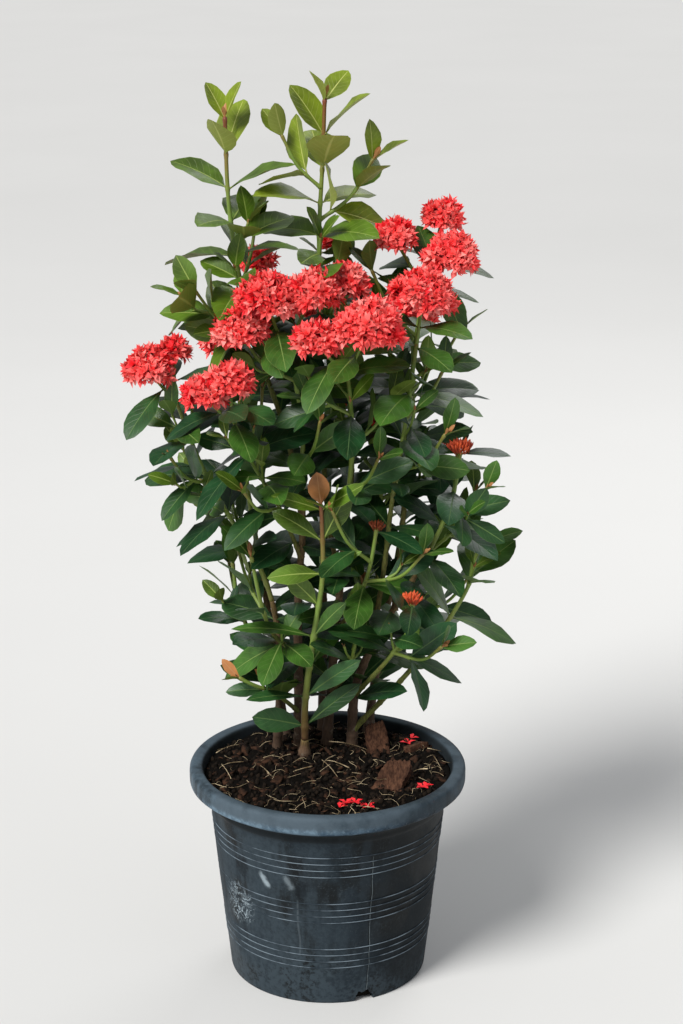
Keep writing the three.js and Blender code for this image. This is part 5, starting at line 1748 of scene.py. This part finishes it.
def rib_tree(material):
    graph, given = new_tree("ribs_on_a_wall", (*RIB_SIZES, "Taper"))

    def circle(resolution, radius):
        return graph.node("GeometryNodeCurvePrimitiveCircle", {"mode": "RADIUS"}, {
            "Resolution": resolution, "Radius": radius})

    def copies(thing, count, pitch, start=None):
        """A thing repeated upwards"""
        line = graph.node("GeometryNodeMeshLine", {"mode": "OFFSET"}, {
            "Count": count, "Start Location": start, "Offset": graph.vector(z=pitch)})
        return graph.node("GeometryNodeInstanceOnPoints", {}, {"Points": line, "Instance": thing})

    rings = copies(circle(150, 1.0), 4, given["Rib Pitch"])
    bands = copies(rings, 3, given["Band Pitch"], graph.vector(z=given["Lowest"]))
    real = graph.node("GeometryNodeRealizeInstances", {}, {"Geometry": bands})
    x, y, z = graph.axes(graph.node("GeometryNodeInputPosition"))
    reach = z * given["Taper"] + given["Foot Radius"]
    set_out = graph.node("GeometryNodeSetPosition", {}, {
        "Geometry": real, "Position": graph.vector(x * reach, y * reach, z)})
    tubes = graph.node("GeometryNodeCurveToMesh", {}, {
        "Curve": set_out, "Profile Curve": circle(8, given["Thickness"])})
    real = graph.node("GeometryNodeRealizeInstances", {}, {"Geometry": tubes})
    return finished_tree(graph, graph.node("GeometryNodeSetMaterial", {}, {
        "Geometry": real, "Material": material}))


seed_pile = Pile()
dome(seed_pile, np.zeros(3), 1, 6, 3, 0.2)
ribs = grown_mesh(seed_pile, rib_tree(finish_of("worn_ribs", rib_look)), {
    **{label: size * METRES for label, size in RIB_SIZES.items()},
    "Taper": (POT_NECK - POT_FOOT) / NECK_HEIGHT}, "pot_ribs")
hand_over(ribs, "pot_plastic", "pot")

# %% [markdown]
# ## The potting mix
# The mix is dark and crumbly, with fine roots and bits of bark in it. Its body is one closed
# plug with relief on top, in the room between the pot's wall and the ground line. What lies on
# it is scattered: crumbs, straw-like roots and small bark, each a simple shape repeated with
# chance. The chips of bark are big enough to have a shape of their own.

# %% The plug
MIX_RINGS, MIX_TURNS = 46, 120
MIX_TOP = 132.4
MIX_BOTTOM = 4.4


def lump(x, y):
    """How far the mix stands above the ground line, as on the solid"""
    wave = np.sin(x / 17 + 0.6) * np.cos(y / 21 - 0.4) + np.sin((x + y) / 11) * 0.5
    return 3.4 * (0.5 + wave / 3)


def crumble(x, y):
    """Finer relief of clods and dents"""
    return (1.6 * np.sin(x / 4.3 + 2 * np.sin(y / 7.1)) * np.sin(y / 3.7 + 1.3)
            + 1.1 * np.sin(x / 1.9 + y / 5.3) * np.cos(y / 2.3 - x / 6.1)
            + 2.8 * np.sin(x / 9.1 - 1) * np.sin(y / 8.3 + x / 17))


def mix_height(x, y):
    edge = np.clip((MIX_TOP - np.hypot(x, y)) / 14, 0, 1)
    return GROUND + lump(x, y) * edge + crumble(x, y) * (0.3 + 0.7 * edge) + 0.8


def mix_look(graph):
    where = graph.place()
    clod, grain = graph.noise(where, 90, 5, 0.7), graph.noise(where, 520, 4, 0.7)
    ramp = graph.ramp(clod * 0.6 + grain * 0.6 - 0.14, (0.0, (5, 4, 3)), (0.5, (12, 9, 6)),
                      (0.68, (30, 23, 17)), (1.0, (92, 76, 54)))
    return {"Base Color": ramp, "Roughness": 0.94, "Specular IOR Level": 0.1,
            "Normal": graph.bump(clod + grain * 0.6, 1.0, 0.003)}


angles = 2 * np.pi * np.arange(MIX_TURNS) / MIX_TURNS
corners = [(0, 0, float(mix_height(0, 0)))]
for row in range(1, MIX_RINGS + 1):
    r = MIX_TOP * row / MIX_RINGS
    x, y = r * np.cos(angles), r * np.sin(angles)
    corners += list(zip(x, y, mix_height(x, y)))
for r, z in ((123.6, 194), (103.6, MIX_BOTTOM)):
    corners += [(r * cos(a), r * sin(a), z) for a in angles]
middle = len(corners)
corners.append((0, 0, MIX_BOTTOM))
mix_pile = Pile()
mix_pile.add(corners, fan(0, 1, MIX_TURNS) + band(MIX_RINGS + 1, MIX_TURNS, 1, inward=True)
             + fan(middle, middle - MIX_TURNS, MIX_TURNS, inward=True))
hand_over(mix_pile.mesh("mix_body", finish_of("potting_mix", mix_look)), "potting_mix", "potting_mix")


# %% Crumbs, roots and bark bits
def rough_ball(pile, radius, seed):
    """A small clod: a ball of seven corners that are pushed about"""
    corners = [(0, 0, 1), (1, 0, 0.1), (0.3, 0.95, 0), (-0.8, 0.6, 0.1), (-0.8, -0.6, 0), (0.3, -0.95, 0.1),
               (0.2, 0.1, -0.9)]
    corners = [np.array(c) * radius * (0.7 + 0.6 * chance(seed, n)) for n, c in enumerate(corners)]
    pile.add(corners, fan(0, 1, 5) + fan(6, 1, 5, inward=True))


def straw(pile, length, radius, bend, seed):
    """A fine root or straw that lies nearly flat"""
    line = [(length * (t - 0.5), bend * sin(5 * t + seed), 1.6 + 2 * sin(3.14 * t))
            for t in (0, 0.35, 0.7, 1)]
    sweep(pile, Stretch(line, 0, 3), (radius, radius * 0.5), (0, 1), 4, length / 6)


def shard(pile, long, wide, thick, seed):
    """A thin flake of bark, narrower at one end"""
    edge = [(-0.5, -0.42), (0.1, -0.5), (0.5, -0.22), (0.46, 0.2), (-0.05, 0.5), (-0.46, 0.34)]
    edge = [(x * long * (0.85 + 0.3 * chance(seed, n)), y * wide) for n, (x, y) in enumerate(edge)]
    prism(pile, edge, -thick / 2, thick / 2, lambda x, y, depth: (x, y, depth + 0.12 * x))


def litter_look(graph, colour, other, roughness=0.9, scale=160):
    where = graph.place()
    tone, grain = graph.noise(where, scale, 3), graph.noise(where, 800, 3, 0.7)
    share = (tone * 0.7 + grain * 0.3).steps(0.35, 0.65)
    return {"Base Color": graph.mix(share, linear(*colour), linear(*other)), "Roughness": roughness,
            "Specular IOR Level": 0.15, "Normal": graph.bump(grain, 0.7, 0.0008)}


CRUMB = finish_of("mix_crumb", litter_look, (8, 6, 4), (38, 29, 21))
STRAW = finish_of("fine_root", litter_look, (104, 84, 58), (216, 196, 160), 0.8, 60)
FLAKE = finish_of("bark_flake", litter_look, (16, 11, 8), (74, 50, 36))
# The top of the plug without its middle and its edge is the ground that things lie on
ground = Pile()
first, last = 1 + 2 * MIX_TURNS, 1 + (MIX_RINGS - 1) * MIX_TURNS
ground.add(corners[first:last], band(MIX_RINGS - 4, MIX_TURNS, inward=True))
LITTER = {
    "mix_crumbs": (rough_ball, (2.1, 4), CRUMB, spread(3.4, 26000, 11, 0.6, 0.5, 2.1)),
    "fine_roots": (straw, (32, 0.4, 6, 2), STRAW, spread(6.0, 800, 12, 0.3, 0.4, 1.2)),
    "short_roots": (straw, (16, 0.3, 3, 4.1), STRAW, spread(4.0, 1800, 17, 0.5, 0.5, 1.3)),
    "straight_straws": (straw, (36, 0.6, 0.6, 1), STRAW, spread(8.0, 380, 15, 0.4, 0.5, 1.3)),
    "bark_flakes": (shard, (13, 7, 1.6, 5), FLAKE, spread(8.5, 5200, 13, 0.6, 0.4, 1.6)),
}
for name, (shape, sizes, finish, values) in LITTER.items():
    litter_pile = Pile()
    shape(litter_pile, *sizes)
    thing = pattern(litter_pile, f"{name}_pattern")
    litter = grown_mesh(ground, scatter_tree(f"scatter_{name}", thing, [(finish, 1)]), values, name)
    bpy.data.objects.remove(thing)
    hand_over(litter, "potting_mix", "potting_mix")

# %% [markdown]
# ## Chips of bark and fallen petals
# Three chips lie among the canes' feet. Each is a slab in the place of its solid, cut fine, and
# its corners are pushed about along the grain so that it looks split. A few florets have fallen
# and lie on the mix.

# %% Chips
BARK_CHIPS = {
    "bark_chip_tall": {"at": (55, 54, 231), "size": (26, 46, 8), "turn": 20, "lean": 55},
    "bark_chip_front": {"at": (70, -38, 231), "size": (33, 42, 11), "turn": -24, "lean": 26},
    "bark_chip_right": {"at": (96, 58, 226), "size": (30, 14, 7), "turn": 38, "lean": -16},
}


def chip_look(graph):
    grain = graph.noise(graph.place(Rotation=(0, 0, 0.42), Scale=(1, 0.16, 0.6)), 420, 5, 0.7)
    tone = graph.noise(graph.place(), 60, 3)
    ramp = graph.ramp(grain * 0.65 + tone * 0.4 - 0.04, (0.0, (18, 11, 8)), (0.42, (60, 39, 29)),
                      (0.6, (104, 72, 54)), (1.0, (158, 120, 92)))
    return {"Base Color": ramp, "Roughness": 0.88, "Specular IOR Level": 0.15,
            "Normal": graph.bump(grain, 0.9, 0.0016)}


chip_finish = finish_of("split_bark", chip_look)
for index, (name, chip) in enumerate(BARK_CHIPS.items()):
    bm = bmesh.new()
    bmesh.ops.create_cube(bm, size=1)
    bmesh.ops.subdivide_edges(bm, edges=bm.edges[:], cuts=13, use_grid_fill=True)
    wide, tall, thick = chip["size"]
    for corner in bm.verts:
        x, y, z = corner.co
        end, edge = y + 0.5, abs(x) * 2
        split = (0.05 * sin(46 * x + 5 * index) + 0.04 * sin(83 * x + 9 * y)) * (1 - 0.4 * edge)
        ragged = 1 + 0.08 * sin(7 * end + 3 * (1 if x > 0 else -1)) + 0.04 * sin(37 * end + index)
        px, py = x * wide * ragged * (1 - 0.18 * end), y * tall * (1 + 0.07 * sin(31 * x + index))
        pz = z * thick * (1 - 0.25 * edge**3) + split * thick + 0.05 * py * x
        py, pz = turned(py + 0.12 * x * wide, pz, radians(chip["lean"]))
        corner.co = (Vector((*turned(px, py, radians(chip["turn"])), pz)) + Vector(chip["at"])) * METRES
    made = bpy.data.meshes.new(f"{name}_split")
    bm.to_mesh(made)
    bm.free()
    made.materials.append(chip_finish)
    hand_over(stand(made.name, smooth(made, 42)), "bark_chip", name)

# %% Fallen petals
FALLEN = ((13, -104), (20, -101), (29, -103), (37, -99), (43, -101),
          (88, 62), (92, 70), (101, -56), (104, -50))
fallen = Pile()
for number, (x, y) in enumerate(FALLEN):
    for turn in range(4 if number % 3 else 2):
        petal(fallen, radians(90 * turn + 57 * number), radians(70), 9.5, 2.4,
              foot=(x, y, float(mix_height(x, y)) + 3))
hand_over(fallen.mesh("fallen_petals", PETAL_DEEP), "potting_mix", "potting_mix")

# %% [markdown]
# ## Handing over
# The floret and the bud were only patterns to scatter, so they are taken away. Nothing may stand
# outside the solids' box by more than a little.

# %% The patterns put away
for thing in (floret, bud):
    bpy.data.objects.remove(thing)
